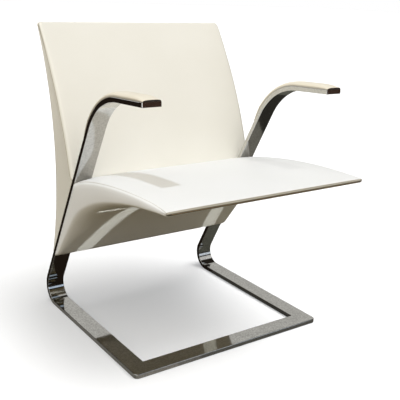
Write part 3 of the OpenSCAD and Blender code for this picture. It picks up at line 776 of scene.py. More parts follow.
class Finishes:
    """Every finish of the chair, made once."""

    def __init__(self) -> None:
        """Builds the shared shader groups and the chair's materials."""
        effects = Effects()
        # Each hide's third colour is its painted shade, laid where the mesh's darkening layer marks
        # seams and edges.
        self.seat_hide = HideFinish(
            "seat_hide", (0.885, 0.885, 0.87, 1), (0.90, 0.90, 0.89, 1),
            (0.52, 0.48, 0.40, 1)).make(effects)
        self.back_hide = HideFinish(
            "back_hide", (0.865, 0.84, 0.76, 1), (0.885, 0.86, 0.785, 1),
            (0.50, 0.45, 0.35, 1)).make(effects)
        # The pads' near-black third colour is painted shade on their end faces and lower rims.
        self.pad_hide = HideFinish(
            "pad_hide", (0.83, 0.76, 0.62, 1), (0.85, 0.79, 0.66, 1),
            (0.032, 0.022, 0.016, 1), 0.42).make(effects)
        # The front band is a darker copy of the seat hide, painted shade where it faces down and
        # forward; its third colour is painted shade on its lower half.
        self.band_hide = HideFinish(
            "band_hide", (0.52, 0.49, 0.40, 1), (0.55, 0.51, 0.42, 1),
            (0.085, 0.07, 0.052, 1)).make(effects)
        self.steel = SteelFinish("polished_bar").make(effects)
        self.ply = PlyFinish("birch_ply").make(effects)
        self.zinc = HardwareFinish(
            "zinc_plate", (0.62, 0.63, 0.65, 1), (0.5, 0.5, 0.5, 1), 0.28, 1.0).make(effects)
        self.brass = HardwareFinish(
            "insert_brass", (0.78, 0.58, 0.28, 1), (0.62, 0.45, 0.2, 1), 0.3, 1.0).make(effects)
        self.nylon = HardwareFinish(
            "glide_nylon", (0.05, 0.05, 0.05, 1), (0.09, 0.09, 0.09, 1), 0.5).make(effects)


# Steel frame


@dataclass
class SteelFrame:
    """The two bent side bars and the front crossbar."""

    sizes: ChairSizes
    edge_r: float = 0.0012
    end_r: float = 0.002
    mitre_play: float = 0.008
    runner_gap: float = 0.010
    crossbar_step: float = 0.050
    sharp_angle: float = 20
    bend_steps: int = 28
    corner_steps: int = 5
    straight_steps: int = 10
    arm_steps: int = 6

    def ring(self) -> list[Corner]:
        """Returns the bar's section as (inset from its outer side, height over its inner face).

        Returns:
            The section's points, all the way round.
        """
        w, t, r = self.sizes.bar_w, self.sizes.bar_t, self.edge_r
        ring = []
        for cx, cy, start in ((w - r, r, -90), (w - r, t - r, 0), (r, t - r, 90), (r, r, 180)):
            ring += [tuple(Vector((cx, cy)) + turn2(start + 45 * k) * r) for k in range(3)]
        return ring

    def path(self) -> list[tuple[Vector, Vector]]:
        """Returns (point on the inner face, direction out of the outer face) along the bar.

        Returns:
            The stations from the front corner to the arm's end.
        """
        s = self.sizes
        rear = Vector(s.rear_bend)
        front_y = s.base_front_y + s.bar_w + self.runner_gap
        count = self.straight_steps
        base_h = s.glide_h + s.bar_t
        stations = [(Vector((mix(front_y, rear[0], k / count), base_h)), Vector((0, -1)))
                    for k in range(count)]
        stations += [(rear + out * s.rear_bend_r, out)
                     for out in turns(-90, s.upright_lean, self.bend_steps)]
        stations += [(s.on_upright(0, s.upright_len * t), s.rear_dir) for t in inner(count)]
        stations += [(s.arm_bend + out * s.arm_bend_r, out) for out in s.arm_turns(self.bend_steps)]
        stations += [(s.on_arm(0, s.arm_len * k / self.arm_steps), s.arm_top_dir)
                     for k in range(1, self.arm_steps + 1)]
        return stations

    def end_rows(self, ring: Sequence[Corner]) -> list[Row]:
        """Returns the arm's last rows, which turn its sharp edges a little.

        Args:
            ring: the bar's section.

        Returns:
            The rows, up to the arm's end face.
        """
        s = self.sizes
        rows = []
        for back, inwards in ((1.0, 0.0), (0.62, 0.08), (0.29, 0.29), (0.08, 0.62), (0.0, 1.0)):
            inset = inwards * self.end_r
            row = []
            for a, n in ring:
                a = min(max(a, inset), s.bar_w - inset)
                n = min(max(n, 0.15 * inset), s.bar_t - 0.15 * inset)
                row.append(at_x(a - s.half_w, s.on_arm(n, s.arm_len - back * self.end_r)))
            rows.append(row)
        return rows

    def corner_rows(self, last: float, inside: Callable[[float], Corner]) -> list[Row]:
        """Returns rows round half an outer front corner, from its mitre.

        Args:
            last: the angle where they end, from -X towards -Y.
            inside: gives the inner edge's (x, y) at a share of the way.

        Returns:
            The rows, each across the bar from its outer to its inner edge.
        """
        s = self.sizes
        r = s.base_corner_r
        centre = Vector((r - s.half_w, s.base_front_y + r))
        rows = []
        for k in range(self.corner_steps + 1):
            share = k / self.corner_steps
            outer = centre - turn2(mix(45, last, share)) * r
            edge = Vector(inside(share))
            rows.append([Vector((*mix(outer, edge, a / s.bar_w), s.glide_h + s.bar_t - n))
                         for a, n in self.ring()])
        return rows

    def side_bar(self, side: Side) -> Object:
        """Builds one side bar.

        Args:
            side: the side of the chair.

        Returns:
            The bar.
        """
        s = self.sizes
        ring = self.ring()
        inner_y = s.base_front_y + s.bar_w
        rows = self.corner_rows(0, lambda t: (-s.bar_in_x, inner_y + self.mitre_play * t))
        for point, out in self.path()[:-1]:
            rows.append([at_x(a - s.half_w, point + out * n) for a, n in ring])
        rows += self.end_rows(ring)
        if side is Side.LEFT:
            rows = [list(reversed(mirrored(row))) for row in rows]
        return self.bar(f"steel_bar_{side.word}", rows)

    def crossbar(self) -> Object:
        """Builds the front crossbar between the two mitres.

        Returns:
            The bar.
        """
        s = self.sizes
        inner_y = s.base_front_y + s.bar_w
        half = self.corner_rows(90, lambda t: (self.mitre_play * t - s.bar_in_x, inner_y))
        top = s.glide_h + s.bar_t
        middle = [[Vector((x, mix(s.base_front_y, inner_y, a / s.bar_w), top - n))
                   for a, n in self.ring()] for x in (k * self.crossbar_step for k in range(-4, 5))]
        other = [mirrored(row) for row in reversed(half)]
        return self.bar("steel_crossbar", [list(reversed(row)) for row in half + middle + other])

    def bar(self, name: str, rows: Sequence[Row]) -> Object:
        """Makes a closed bar from the rings along it, its wide faces flat to the light.

        Args:
            name: the piece's name.
            rows: its rows of points.

        Returns:
            The bar.
        """
        piece = grid_piece(name, rows, closed=True)
        piece.data.set_sharp_from_angle(angle=math.radians(self.sharp_angle))
        weighted = piece.modifiers.new("flat_faces", "WEIGHTED_NORMAL")
        weighted.keep_sharp = True
        weighted.weight = 100
        return piece

    def build(self, finishes: Finishes) -> None:
        """Builds and dresses the frame.

        Args:
            finishes: the chair's materials.
        """
        for side in Side:
            placed(self.side_bar(side), finishes.steel, "polished_steel", f"side_bar_{side.word}")
        placed(self.crossbar(), finishes.steel, "polished_steel", "front_crossbar")


# Seat


@dataclass
class Upholstery:
    """What the seat and the back have in common."""

    sizes: ChairSizes
    leather_t: float = 0.0015
    seam_w: float = 0.0011

    def panel(self, name: str, rows: Sequence[Row], tired: Optional[ShadeMap] = None,
              thick: Optional[float] = None, flip: bool = False) -> Object:
        """Makes a panel of hide, with its thickness on the inside.

        Args:
            name: the piece's name.
            rows: its rows of points.
            darkening: gives the painted shade at a row and a column.
            thick: its thickness, if it isn't the hide's own.
            flip: turns its faces over first, where its rows run the other way.

        Returns:
            The new object.
        """
        piece = grid_piece(name, rows, tired=tired)
        if flip:
            piece.data.flip_normals()
        shell = piece.modifiers.new("thickness", "SOLIDIFY")
        shell.thickness = thick or self.leather_t
        shell.offset = -1.0
        shell.use_even_offset = False
        return piece


@dataclass
class SeatBody(Upholstery):
    """The fin-shaped seat: top panel, front band and the panel under and beside it.

    A station s runs along the body from the lower lip to the front edge, a
    share t along its top from the uprights to the front edge.
    """

    tip_y: float = -0.338
    front_h: float = 0.462
    rear_h: float = 0.411
    bottom_h: float = 0.166
    front_t: float = 0.008
    lip_t: float = 0.010
    crown: float = 0.010
    side_r: float = 0.038
    under_r: float = 0.055
    draw: float = -0.0008
    drag: float = 0.0008
    drag_pace: float = 60
    drag_slope: float = 0.8
    shoulder_w: float = 0.005
    shoulder_x: float = 0.262
    shoulder_fall: float = 1.7
    band_t: float = 0.0008
    rear_share: float = 0.3
    lip_share: float = 0.03
    last_share: float = 0.9935
    tail_end: Corner = (0.1246, 0.4200)
    tail_half: float = 0.2494
    top_rows: int = 64
    top_spread: float = 0.92
    shell_rows: int = 74
    middle_steps: int = 22
    side_steps: int = 10
    round_steps: int = 14
    under_steps: int = 12
    top_pulls: tuple[Corner, ...] = ((151, 0.082), (4, 0.140))
    belly_pulls: tuple[Corner, ...] = ((133, 0.226), (-7, 0.365))
    top_waves: Waves = Waves(0.0005, 9.0, 3.1)
    shell_waves: Waves = Waves(0.0006, 8.0, 5.3)

    def __post_init__(self) -> None:
        """Works out the outline's fixed points."""
        self.tip = Vector((self.tip_y, self.front_h))
        self.tip_low = self.tip - Vector((0, self.front_t))
        self.low = self.sizes.upright_at(0, self.bottom_h)
        self.corner = self.sizes.upright_at(0, self.rear_h)
        self.lip = self.low - self.sizes.rear_dir * self.lip_t

    def top_curve(self, t: float) -> Vector:
        """Returns the side seam's (y, z) point, from the upright to the front edge."""
        return bezier(self.corner, self.tip, self.top_pulls, t)

    def belly_curve(self, t: float) -> Vector:
        """Returns the underside's (y, z) point, from the lower lip to the front edge."""
        return bezier(self.lip, self.tip_low, self.belly_pulls, t)

    def top(self, s: float) -> Vector:
        """Returns the upper (y, z) point of a station.

        Args:
            s: the station.

        Returns:
            The point.
        """
        if s < self.rear_share:
            return mix(self.low, self.corner, s / self.rear_share)
        return self.top_curve((s - self.rear_share) / (1 - self.rear_share))

    def belly(self, s: float) -> Vector:
        """Returns the lower (y, z) point of a station.

        Args:
            s: the station.

        Returns:
            The point.
        """
        fill = 1.0
        if s < self.lip_share:
            fill = 0.3 + 0.7 * math.sin(math.pi / 2 * s / self.lip_share)
        return mix(self.top(s), self.belly_curve(s), fill)

    def line(self, s: float) -> tuple[Vector, float]:
        """Returns a station's direction from belly to top, and its depth."""
        gap = self.top(s) - self.belly(s)
        return gap.normalized(), gap.length

    def crown_at(self, t: float, x: float) -> float:
        """Returns the crown's height at share t along the top and x across."""
        half = self.sizes.body_half_w
        return self.crown * math.sqrt(max(0.0, 1 - t * t)) * (1 - abs(x / half) ** 6)

    def shoulder(self, s: float) -> float:
        """Returns how far the side seams lie inside the seat's widest part."""
        widest = min(self.shoulder_w, 0.12 * self.line(s)[1])
        return widest * ramp(self.rear_share, self.rear_share + 0.03, s)

    def top_columns(self) -> list[Corner]:
        """Returns (x, drop) of the top panel's columns, with its edges rolled up from the seams.

        Returns:
            The columns from side to side.
        """
        g = self.seam_w
        half = self.sizes.body_half_w
        edge = ((2.2, 3.4), (1.0, 2.9), (0.25, 2.2), (0.0, 1.5), (0.3, 0.75), (1.1, 0.2),
                (2.3, 0.0))
        outer = (0.2945, 0.290, 0.283, 0.275, 0.266, 0.258, 0.2505, self.tail_half)
        side = [(inset * g - half, drop * g) for inset, drop in edge]
        side += [(-x, 0.0) for x in outer]
        side += [(-self.tail_half * share, 0.0) for share in reversed(inner(self.middle_steps))]
        return both_sides(side, 0.0)

    def top_point(self, t: float, x: float, drop: float) -> Vector:
        """Returns a point of the seat's top surface.

        Args:
            t: share along the top, from the uprights to the front edge.
            x: place across the seat.
            drop: depth below the surface.

        Returns:
            The 3-D point, with the crown and the leather's slow waves.
        """
        s = mix(self.rear_share, 1, max(t, 0.002))
        direction, _ = self.line(s)
        up = mix(self.sizes.up_dir, direction, min(1.0, t / 0.2))
        rise = self.crown_at(t, x)
        inward = self.shoulder(s) * ramp(self.shoulder_x, self.sizes.body_half_w, abs(x))
        point = at_x(x - math.copysign(inward, x), self.top_curve(t) + up * (rise - drop))
        calm = ramp(0.0, 0.12, 1 - abs(x / self.sizes.body_half_w)) * ramp(0, 0.08, 1 - t)
        point[2] += self.top_waves.at(point) * calm
        return point

    def top_panel(self) -> Object:
        """Builds the crowned top panel, with its tail between the uprights.

        Returns:
            The panel.
        """
        columns = self.top_columns()
        rows: list[Row] = []
        end_y, end_z = self.tail_end
        for drop_in, share in ((0.006, 1.0), (0.002, 1.0), (0.0004, 0.93), (0.0, 0.75), (0.0, 0.4)):
            row: Row = []
            for x, _ in columns:
                if abs(x) > self.tail_half + 0.0001:
                    row.append(None)
                    continue
                start = self.top_point(0.0, x, 0.0)
                end = Vector((x, end_y, min(end_z, start[2] + 0.001)))
                row.append(mix(start, end, share) - Vector((0, 0, drop_in)))
            rows.append(row)
        for i in range(self.top_rows + 1):
            t = min((i / self.top_rows) ** self.top_spread, self.last_share)
            rows.append([self.top_point(t, x, drop) for x, drop in columns])
        g = self.seam_w
        for ahead, fall in ((0.75, 0.25), (1.1, 0.9), (0.9, 1.6), (0.1, 2.2)):
            over = Vector((0, ahead * g, fall * g))
            rows.append([self.top_point(self.last_share, x, drop) - over for x, drop in columns])
        # Painted shade: the columns by the side seams and the rows of the rolled front edge are
        # darkened.
        seam = (1.0, 1.0, 0.9, 0.6, 0.2)
        sides = side_painted_shade(seam, len(columns))
        ends = dict(zip(range(len(rows) - 1, 0, -1), seam[:3]))
        return self.panel("seat_top_cushion", rows, lambda i, j: max(sides(i, j), ends.get(i, 0.0)))

    def section(self, s: float) -> list[Corner]:
        """Returns a station's right half section as (x, height over the belly).

        Args:
            s: the station.

        Returns:
            The points from the side seam to near the middle.
        """
        _, depth = self.line(s)
        half = self.sizes.body_half_w
        r = max(0.0003, min(self.side_r, 0.34 * depth))
        r_in = max(0.0003, min(self.under_r, 0.5 * depth))
        g = self.seam_w
        top_gap = min(3.0 * g if s > self.rear_share else 0.4 * g, 0.35 * depth)
        draw = self.draw * ramp(0.0, 0.1, depth)
        inward = self.shoulder(s)
        edge = half - inward
        points = [(edge - 1.6 * g, depth - 0.6 * top_gap), (edge - 0.5 * g, depth - 0.7 * top_gap),
                  (edge + 0.08 * inward, depth - 0.9 * top_gap)]
        for turn in turns(0, 90, 4)[1:-1]:
            fall = self.shoulder_fall * inward * (1 - turn[0])
            points.append((edge + inward * turn[1], depth - 0.9 * top_gap - fall))
        for share in inner(self.side_steps):
            high = mix(depth - 1.5 * top_gap - self.shoulder_fall * inward, r, share)
            points.append((half - draw * math.sin(math.pi * share), high))
        under = [((half - r_in) * (1 - share), 0.0) for share in inner(self.under_steps)]
        return points + rounding(half, r_in, r, self.round_steps) + under

    def shell_panel(self) -> Object:
        """Builds the panel that covers the seat's sides and underside.

        Returns:
            The panel.
        """
        rows: list[Row] = []
        shares = [0.0, 0.004, 0.009, 0.016, 0.026]
        shares += [mix(0.038, 0.9985, k / self.shell_rows) for k in range(self.shell_rows + 1)]
        for s in shares:
            direction, depth = self.line(s)
            base = self.belly(s)
            rows.append([self.with_creases(at_x(x, base + direction * high), s, x, high, depth)
                         for x, high in both_sides(self.section(s), 0.0)])
        first = []
        rear = self.sizes.rear_dir
        for point in rows[0]:
            side = point.yz
            first.append(at_x(point[0], side - rear * (side - self.low).dot(rear)))
        rows.insert(0, first)
        # Painted shade along the side seams and on the last row, under the front band.
        sides = side_painted_shade((1.0, 0.9, 0.35), len(first))
        ends = {len(rows) - 1: 0.8}
        return self.panel("seat_shell", rows, lambda i, j: max(sides(i, j), ends.get(i, 0.0)))

    def with_creases(self, point: Vector, s: float, x: float, high: float, depth: float) -> Vector:
        """Returns a shell point moved by slow waves and the drag lines of stretched hide.

        Args:
            point: the point of the plain form.
            s: the station.
            x: its place across the seat.
            high: its height over the belly.
            depth: the station's depth.

        Returns:
            The moved point.
        """
        near_side = ramp(0.55, 1.0, abs(x) / self.sizes.body_half_w)
        edge = ramp(0.0, 0.3, s) * ramp(0.0, 0.12, 1 - s)
        turn = self.drag_pace * (point[1] * self.drag_slope + point[2])
        drag = self.drag * math.sin(turn) * near_side
        calm = edge * ramp(0.0, 0.02, depth - high)
        return point - at_x(0.0, self.line(s)[0]) * (self.shell_waves.at(point) + drag) * calm

    def front_band(self) -> Object:
        """Builds the narrow band along the front edge, which leans back below.

        Returns:
            The band.
        """
        g = self.seam_w
        half = self.sizes.body_half_w - 0.4 * g
        high = Vector((self.tip_y - 0.0012, self.front_h - 2.4 * g))
        low = Vector((self.tip_y + 0.0042, self.front_h - self.front_t - 1.5 * g))
        out = Vector((-0.86, -0.51))
        pinch = mix(high, low, 0.45) - out * 0.001
        # Each step is (share down the band, lift out, painted shade); the band's lower half is
        # darkened as painted shade.
        profile = ((0.0, -0.0022, 0.1), (0.0, -0.0008, 0.1), (0.03, -0.0001, 0.25),
                   (0.1, 0.0003, 0.5), (0.3, 0.0008, 0.85), (0.5, 0.001, 1.0), (0.7, 0.0008, 1.0),
                   (0.88, 0.0003, 1.0), (0.96, -0.0003, 1.0), (1.0, -0.0012, 1.0),
                   (1.0, -0.0026, 1.0))
        steps = 36
        rows: list[Row] = []
        for share, lift, _ in profile:
            side = mix(high, low, share) + out * lift
            row: Row = []
            for i in range(-steps, steps + 1):
                x = half * math.sin(math.pi / 2 * i / steps)
                turn = 1 - ramp(0.0, 0.005, half - abs(x))
                row.append(at_x(x, mix(side, pinch, 0.75 * turn)))
            rows.append(row)
        return self.panel("seat_front_piping", rows, lambda i, j: profile[i][2], self.band_t)

    def build(self, finishes: Finishes) -> Object:
        """Builds and dresses the seat, and returns its side and underside panel.

        Args:
            finishes: the chair's materials.

        Returns:
            The panel at the seat's sides and underside.
        """
        placed(self.top_panel(), finishes.seat_hide, "seat_leather",
               "seat_top_leather", "seat_top_foam", fill=0.8)
        placed(self.front_band(), finishes.band_hide, "seat_leather", "seat_front_band")
        return placed(self.shell_panel(), finishes.seat_hide, "seat_leather", "seat_under_leather",
                      "seat_side_foam_right", "seat_side_foam_left", fill=0.9)


# Back


@dataclass
class BackBody(Upholstery):
    """The wedge-shaped back: front, rear and side panels and the top band.

    A station v runs from the lower tip to the top.
    """

    rear_y: float = 0.3395
    top_h: float = 0.813
    top_t: float = 0.019
    front_r: float = 1.157
    rear_r: float = 0.843
    nose_h: float = 0.415
    tip_h: float = 0.172
    tip_t: float = 0.005
    edge_r: float = 0.0115
    seam_in: float = 0.0135
    corner_r: float = 0.008
    crown: float = 0.004
    draw: float = 0.001
    fold: float = 0.0007
    tuck: float = 0.0022
    nose_share: float = 0.42
    # Painted shade of the columns next to the side seams.
    seam_painted_shade: tuple[float, ...] = (1.0, 1.0, 0.7)
    crease_at: tuple[float, ...] = (0.36, 0.66)
    crease_w: float = 0.045
    front_rows: int = 70
    side_rows: int = 80
    rear_rows: int = 74
    across_steps: int = 26
    side_steps: int = 24
    round_steps: int = 8
    band_rows: int = 10
    band_steps: int = 30
    front_waves: Waves = Waves(0.0006, 7.0, 8.2)
    rear_waves: Waves = Waves(0.0006, 6.0, 12.4)

    def __post_init__(self) -> None:
        """Works out the outline's fixed points."""
        s = self.sizes
        self.nose = s.upright_at(s.bar_t, self.nose_h)
        self.tip = s.upright_at(s.bar_t, self.tip_h)
        self.tip_rear = self.tip + s.rear_dir * self.tip_t
        self.top_front = Vector((self.rear_y - self.top_t, self.top_h - self.leather_t))
        self.top_rear = Vector((self.rear_y, self.top_h - self.leather_t))

    @staticmethod
    def arc(a: Vector, b: Vector, r: float, t: float) -> Vector:
        """Returns the point at share t of an arc from a to b that bulges to the left.

        Args:
            a: where it starts.
            b: where it ends.
            r: its radius.
            t: the share of the way.

        Returns:
            The (y, z) point.
        """
        half = (b - a).length / 2
        turn = math.asin(half / r)
        along = (b - a) / (2 * half)
        right = Vector((along[1], -along[0]))
        centre = (a + b) / 2 + right * math.sqrt(r * r - half * half)
        angle = turn * (2 * t - 1)
        return centre - right * r * math.cos(angle) + along * r * math.sin(angle)

    def front_share(self, v: float) -> float:
        """Returns the share of a station along the front face's arc, from its nose."""
        return (v - self.nose_share) / (1 - self.nose_share)

    def front(self, v: float) -> Vector:
        """Returns the front (y, z) point of a station.

        Args:
            v: the station.

        Returns:
            The point.
        """
        if v < self.nose_share:
            return mix(self.tip, self.nose, v / self.nose_share)
        return self.arc(self.nose, self.top_front, self.front_r, self.front_share(v))

    def rear(self, v: float) -> Vector:
        """Returns the rear (y, z) point of a station."""
        return self.arc(self.tip_rear, self.top_rear, self.rear_r, v)

    def line(self, v: float) -> tuple[Vector, float]:
        """Returns a station's direction from front to rear, and its depth."""
        gap = self.rear(v) - self.front(v)
        return gap.normalized(), gap.length

    def from_front(self, v: float, deep: float) -> Vector:
        """Returns the (y, z) point at a depth behind the front face."""
        return self.front(v) + self.line(v)[0] * deep

    def crown_at(self, v: float, x: float) -> float:
        """Returns the crown of the front face."""
        across = 1 - abs(x / self.sizes.body_half_w) ** 6
        return self.crown * across * math.sin(math.pi * min(1.0, max(0.0, self.front_share(v))))

    def corner_in(self, z: float) -> float:
        """Returns how far the top corners' rounding takes the sides in at a height."""
        over = min(self.corner_r, max(0.0, z - (self.top_front[1] - self.corner_r)))
        return self.corner_r - math.sqrt(self.corner_r**2 - over**2)

    def half_at(self, v: float) -> float:
        """Returns the half width of the front at a station."""
        return self.sizes.body_half_w - self.corner_in(self.front(v)[1])

    @staticmethod
    def shares(start: float, count: int) -> list[float]:
        """Returns the stations of a panel's rows, closer together at the top."""
        top = (0.984, 0.987, 0.99, 0.9925, 0.995, 0.997, 0.9985, 0.9995, 1.0)
        return [mix(start, 0.98, i / count) for i in range(count + 1)] + list(top)

    def front_half(self, v: float) -> list[Corner]:
        """Returns the front panel's right half as (x, depth), from the side seam in.

        Args:
            v: the station.

        Returns:
            The points from the side seam to near the middle.
        """
        _, depth = self.line(v)
        r = min(self.edge_r, 0.28 * depth)
        seam = min(self.seam_in, 0.6 * depth)
        half = self.half_at(v)
        g = self.seam_w
        edge = ((2.0, 0.2), (0.6, 0.5), (0.0, 1.3))
        points = [(half - inset * g, seam - rise * g) for inset, rise in edge]
        points += rounding(half, r, r, self.round_steps)
        flat = [(half - r) * (1 - share) for share in inner(self.across_steps)]
        return points + [(x, -self.crown_at(v, x)) for x in flat]

    def front_panel(self) -> Object:
        """Builds the front panel, wrapped round its side edges.

        Returns:
            The panel.
        """
        rows: list[Row] = []
        for v in self.shares(self.nose_share, self.front_rows):
            row: Row = []
            for x, deep in both_sides(self.front_half(v), -self.crown_at(v, 0.0)):
                point = at_x(x, self.from_front(v, deep))
                calm = ramp(0.0, 0.1, 1 - abs(x) / 0.3) * ramp(0.0, 0.04, 1 - v)
                point[1] += self.front_waves.at(point) * calm
                row.append(point)
            rows.append(row)
        g = self.seam_w
        top = rows.pop()
        for narrow, back, rise in ((1.0, 0.3, -0.4), (0.999, 1.2, 0.6), (0.998, 2.2, 0.3)):
            rows.append([Vector((p[0] * narrow, p[1] + back * g, p[2] + rise * g)) for p in top])
        painted_shade = side_painted_shade(self.seam_painted_shade, len(top))
        return self.panel("back_front_cushion", rows, painted_shade, flip=True)

    def side_panel(self, side: Side) -> Object:
        """Builds one side gusset, with its two faint vertical creases.

        Args:
            side: the side of the chair.

        Returns:
            The panel.
        """
        rows: list[Row] = []
        g = self.seam_w
        for v in self.shares(0.0, self.side_rows):
            half = self.half_at(v)
            _, depth = self.line(v)
            draw = min(self.draw, 0.015 * depth)
            edge = min(2.0 * g, 0.2 * depth)
            start, lead = 0.0, ((0.8, 0.0), (0.2, 0.2), (0.0, 0.5))
            if v >= self.nose_share:
                start = min(self.seam_in, 0.6 * depth) + 0.2 * g
                lead = ((2.2, 0.0), (0.7, 0.25), (0.1, 0.6))
            row = [(inset * g, start + share * edge) for inset, share in lead]
            for share in inner(self.side_steps):
                folds = sum(math.exp(-((share - at) / self.crease_w) ** 2) for at in self.crease_at)
                fold = self.fold * folds * ramp(0.5, 0.62, v) * ramp(0.0, 0.08, 1 - v)
                inset = draw * math.sin(math.pi * share) + fold
                row.append((inset, mix(start + edge, depth - edge, share)))
            row += [(0.1 * g, depth - 0.6 * edge), (0.7 * g, depth - 0.25 * edge),
                    (2.0 * g, depth + 0.05 * g)]
            points = [at_x(side.value * (half - inset), self.from_front(v, deep))
                      for inset, deep in row]
            rows.append(points[::side.value])
        painted_shade = side_painted_shade(self.seam_painted_shade, len(rows[0]))
        return self.panel(f"back_side_{side.word}", rows, painted_shade)

    def rear_panel(self) -> Object:
        """Builds the rear panel, turned under the lower tip.

        Returns:
            The panel.
        """
        g = self.seam_w
        rows = [self.rear_row(mix(self.tip, self.tip_rear, share), Vector((0, -1)), 0.0)
                for share in (0.0, 0.35, 0.8)]
        rows += [self.rear_row(self.rear(v), self.line(v)[0], v)
                 for v in self.shares(0.004, self.rear_rows)]
        rows += [self.rear_row(self.top_rear + Vector((-back * g, rise * g)), Vector((0, 1)), 1.0)
                 for back, rise in ((1.0, 0.4), (2.4, -0.4))]
        return self.panel("back_rear_cover", rows)

    def rear_row(self, side: Vector, out: Vector, v: float) -> Row:
        """Returns one row across the rear panel.

        Args:
            side: its (y, z) point.
            out: the (y, z) direction out of the panel.
            v: its station, which sets how far the hide waves.

        Returns:
            The row's points from right to left.
        """
        g = self.seam_w
        half = self.sizes.body_half_w - 0.4 * g
        columns = [(half - 1.8 * g, 1.0 * g), (half - 0.5 * g, 0.3 * g)]
        columns += [(half * (1 - k / self.across_steps), 0.0) for k in range(self.across_steps)]
        narrow = 1 - self.corner_in(side[1]) / self.sizes.body_half_w
        right = []
        for x, dip in columns:
            x *= narrow
            calm = ramp(0.0, 0.1, 1 - x / 0.3) * ramp(0, 0.05, v) * ramp(0, 0.05, 1 - v)
            point = at_x(x, side - out * dip)
            point[1] += self.rear_waves.at(point) * calm
            right.append(point)
        return right + [at_x(0.0, side)] + mirrored(reversed(right))

    def top_band(self) -> Object:
        """Builds the narrow band along the top edge.

        Returns:
            The band.
        """
        g = self.seam_w
        half = self.sizes.body_half_w
        y0 = self.top_front[0] + 2.2 * g
        y1 = self.top_rear[0] - 2.4 * g
        rows: list[Row] = []
        for k in range(self.band_rows + 1):
            a = math.pi * k / self.band_rows
            y = mix(y0, y1, 0.5 - 0.5 * math.cos(a))
            z = self.top_h - 0.0012 + 0.0012 * math.sin(a) ** 0.5
            row: Row = []
            for i in range(2 * self.band_steps + 1):
                x = half * math.sin(math.pi / 2 * (1 - i / self.band_steps))
                over = min(1.0, max(0.0, abs(x) - (half - self.corner_r)) / self.corner_r)
                fall = self.corner_r * (1 - math.sqrt(1 - over**2))
                row.append(Vector((x - math.copysign(self.tuck * over**2, x), y, z - fall)))
            rows.append(row)
        return self.panel("back_top_strip", rows, flip=True)

    def build(self, finishes: Finishes) -> None:
        """Builds and dresses the back.

        Args:
            finishes: the chair's materials.
        """
        hide, slot = finishes.back_hide, "back_leather"
        placed(self.front_panel(), hide, slot, "back_front_leather", "back_foam", fill=0.8)
        for side in Side:
            placed(self.side_panel(side), hide, slot, f"back_side_leather_{side.word}")
        placed(self.rear_panel(), hide, slot, "back_rear_leather")
        placed(self.top_band(), hide, slot, "back_top_leather")


# Arm pads


@dataclass
class ArmPads:
    """The domed leather pads on the arms, closed over their foam."""

    sizes: ChairSizes
    pad_t: float = 0.012
    low_h: float = 0.548
    side_gap: float = 0.0006
    lift: float = 0.0002
    power: float = 3.0
    bend_steps: int = 36
    dome_steps: int = 20
    flat_steps: int = 8
    end_len: float = 0.055
    sharp_angle: float = 50

    def stations(self) -> list[tuple[Vector, Vector, float, float]]:
        """Returns (place, way out, share of the thickness, share of the width) along the pad.

        Returns:
            The stations from the pad's lower end to its front end.
        """
        s = self.sizes
        foot = s.rear_bend[1] + s.rear_dir[1] * (s.rear_bend_r + s.bar_t)
        low_at = (self.low_h - foot) / s.up_dir[1]
        ends = ((0.0, 0.36, 0.955), (0.0003, 0.40, 0.97), (0.0012, 0.44, 0.98),
                (0.003, 0.49, 0.985), (0.007, 0.585, 0.99), (0.013, 0.71, 0.995),
                (0.020, 0.83, 1.0), (0.028, 0.93, 1.0), (0.038, 0.985, 1.0), (0.050, 1.0, 1.0))
        flat = s.arm_len - self.end_len
        rows = [(s.on_upright(s.bar_t, low_at + d), s.rear_dir, t, w) for d, t, w in ends]
        rows += [(s.arm_bend + out * (s.arm_bend_r + s.bar_t), out, 1.0, 1.0)
                 for out in s.arm_turns(self.bend_steps)]
        rows += [(s.on_arm(s.bar_t, flat * share), s.arm_top_dir, 1.0, 1.0)
                 for share in (0.2, 0.4, 0.6, 0.8)]
        rows += [(s.on_arm(s.bar_t, s.arm_len - d), s.arm_top_dir, t, w)
                 for d, t, w in reversed(ends)]
        return rows

    def pad(self, side: Side) -> Object:
        """Builds one pad as a closed form, flat where it lies on the bar.

        Args:
            side: the side of the chair.

        Returns:
            The pad.
        """
        full = self.sizes.bar_w / 2 - self.side_gap
        middle = side.value * self.sizes.bar_mid_x
        rows: list[Row] = []
        for place, out, thick, wide in self.stations():
            half = full * wide
            row: Row = []
            for k in range(self.dome_steps + 1):
                c, h = turn2(180 * k / self.dome_steps)
                x = half * math.copysign(abs(c) ** (2 / self.power), c)
                high = self.lift + (self.pad_t * thick - self.lift) * abs(h) ** (2 / self.power)
                row.append(at_x(middle + x, place + out * high))
            row += [at_x(middle + mix(-half, half, share), place + out * self.lift)
                    for share in inner(self.flat_steps)]
            rows.append(row)
        # Painted shade: the pad's end rows are darkened fully and its lower rim columns partly.
        ends = (0, len(rows) - 1)
        rim = {0: 0.6, 1: 0.3, self.dome_steps - 1: 0.3, self.dome_steps: 0.6}
        piece = grid_piece(f"arm_cushion_{side.word}", rows, closed=True,
                           tired=lambda i, j: 1.0 if i in ends else rim.get(j, 0.0))
        piece.data.set_sharp_from_angle(angle=math.radians(self.sharp_angle))
        return piece

    def build(self, finishes: Finishes) -> None:
        """Builds and dresses both pads.

        Args:
            finishes: the chair's materials.
        """
        for side in Side:
            placed(self.pad(side), finishes.pad_hide, "back_leather",
                   f"arm_pad_leather_{side.word}", f"arm_pad_foam_{side.word}", fill=0.7)


# Pieces kept from the CAD model


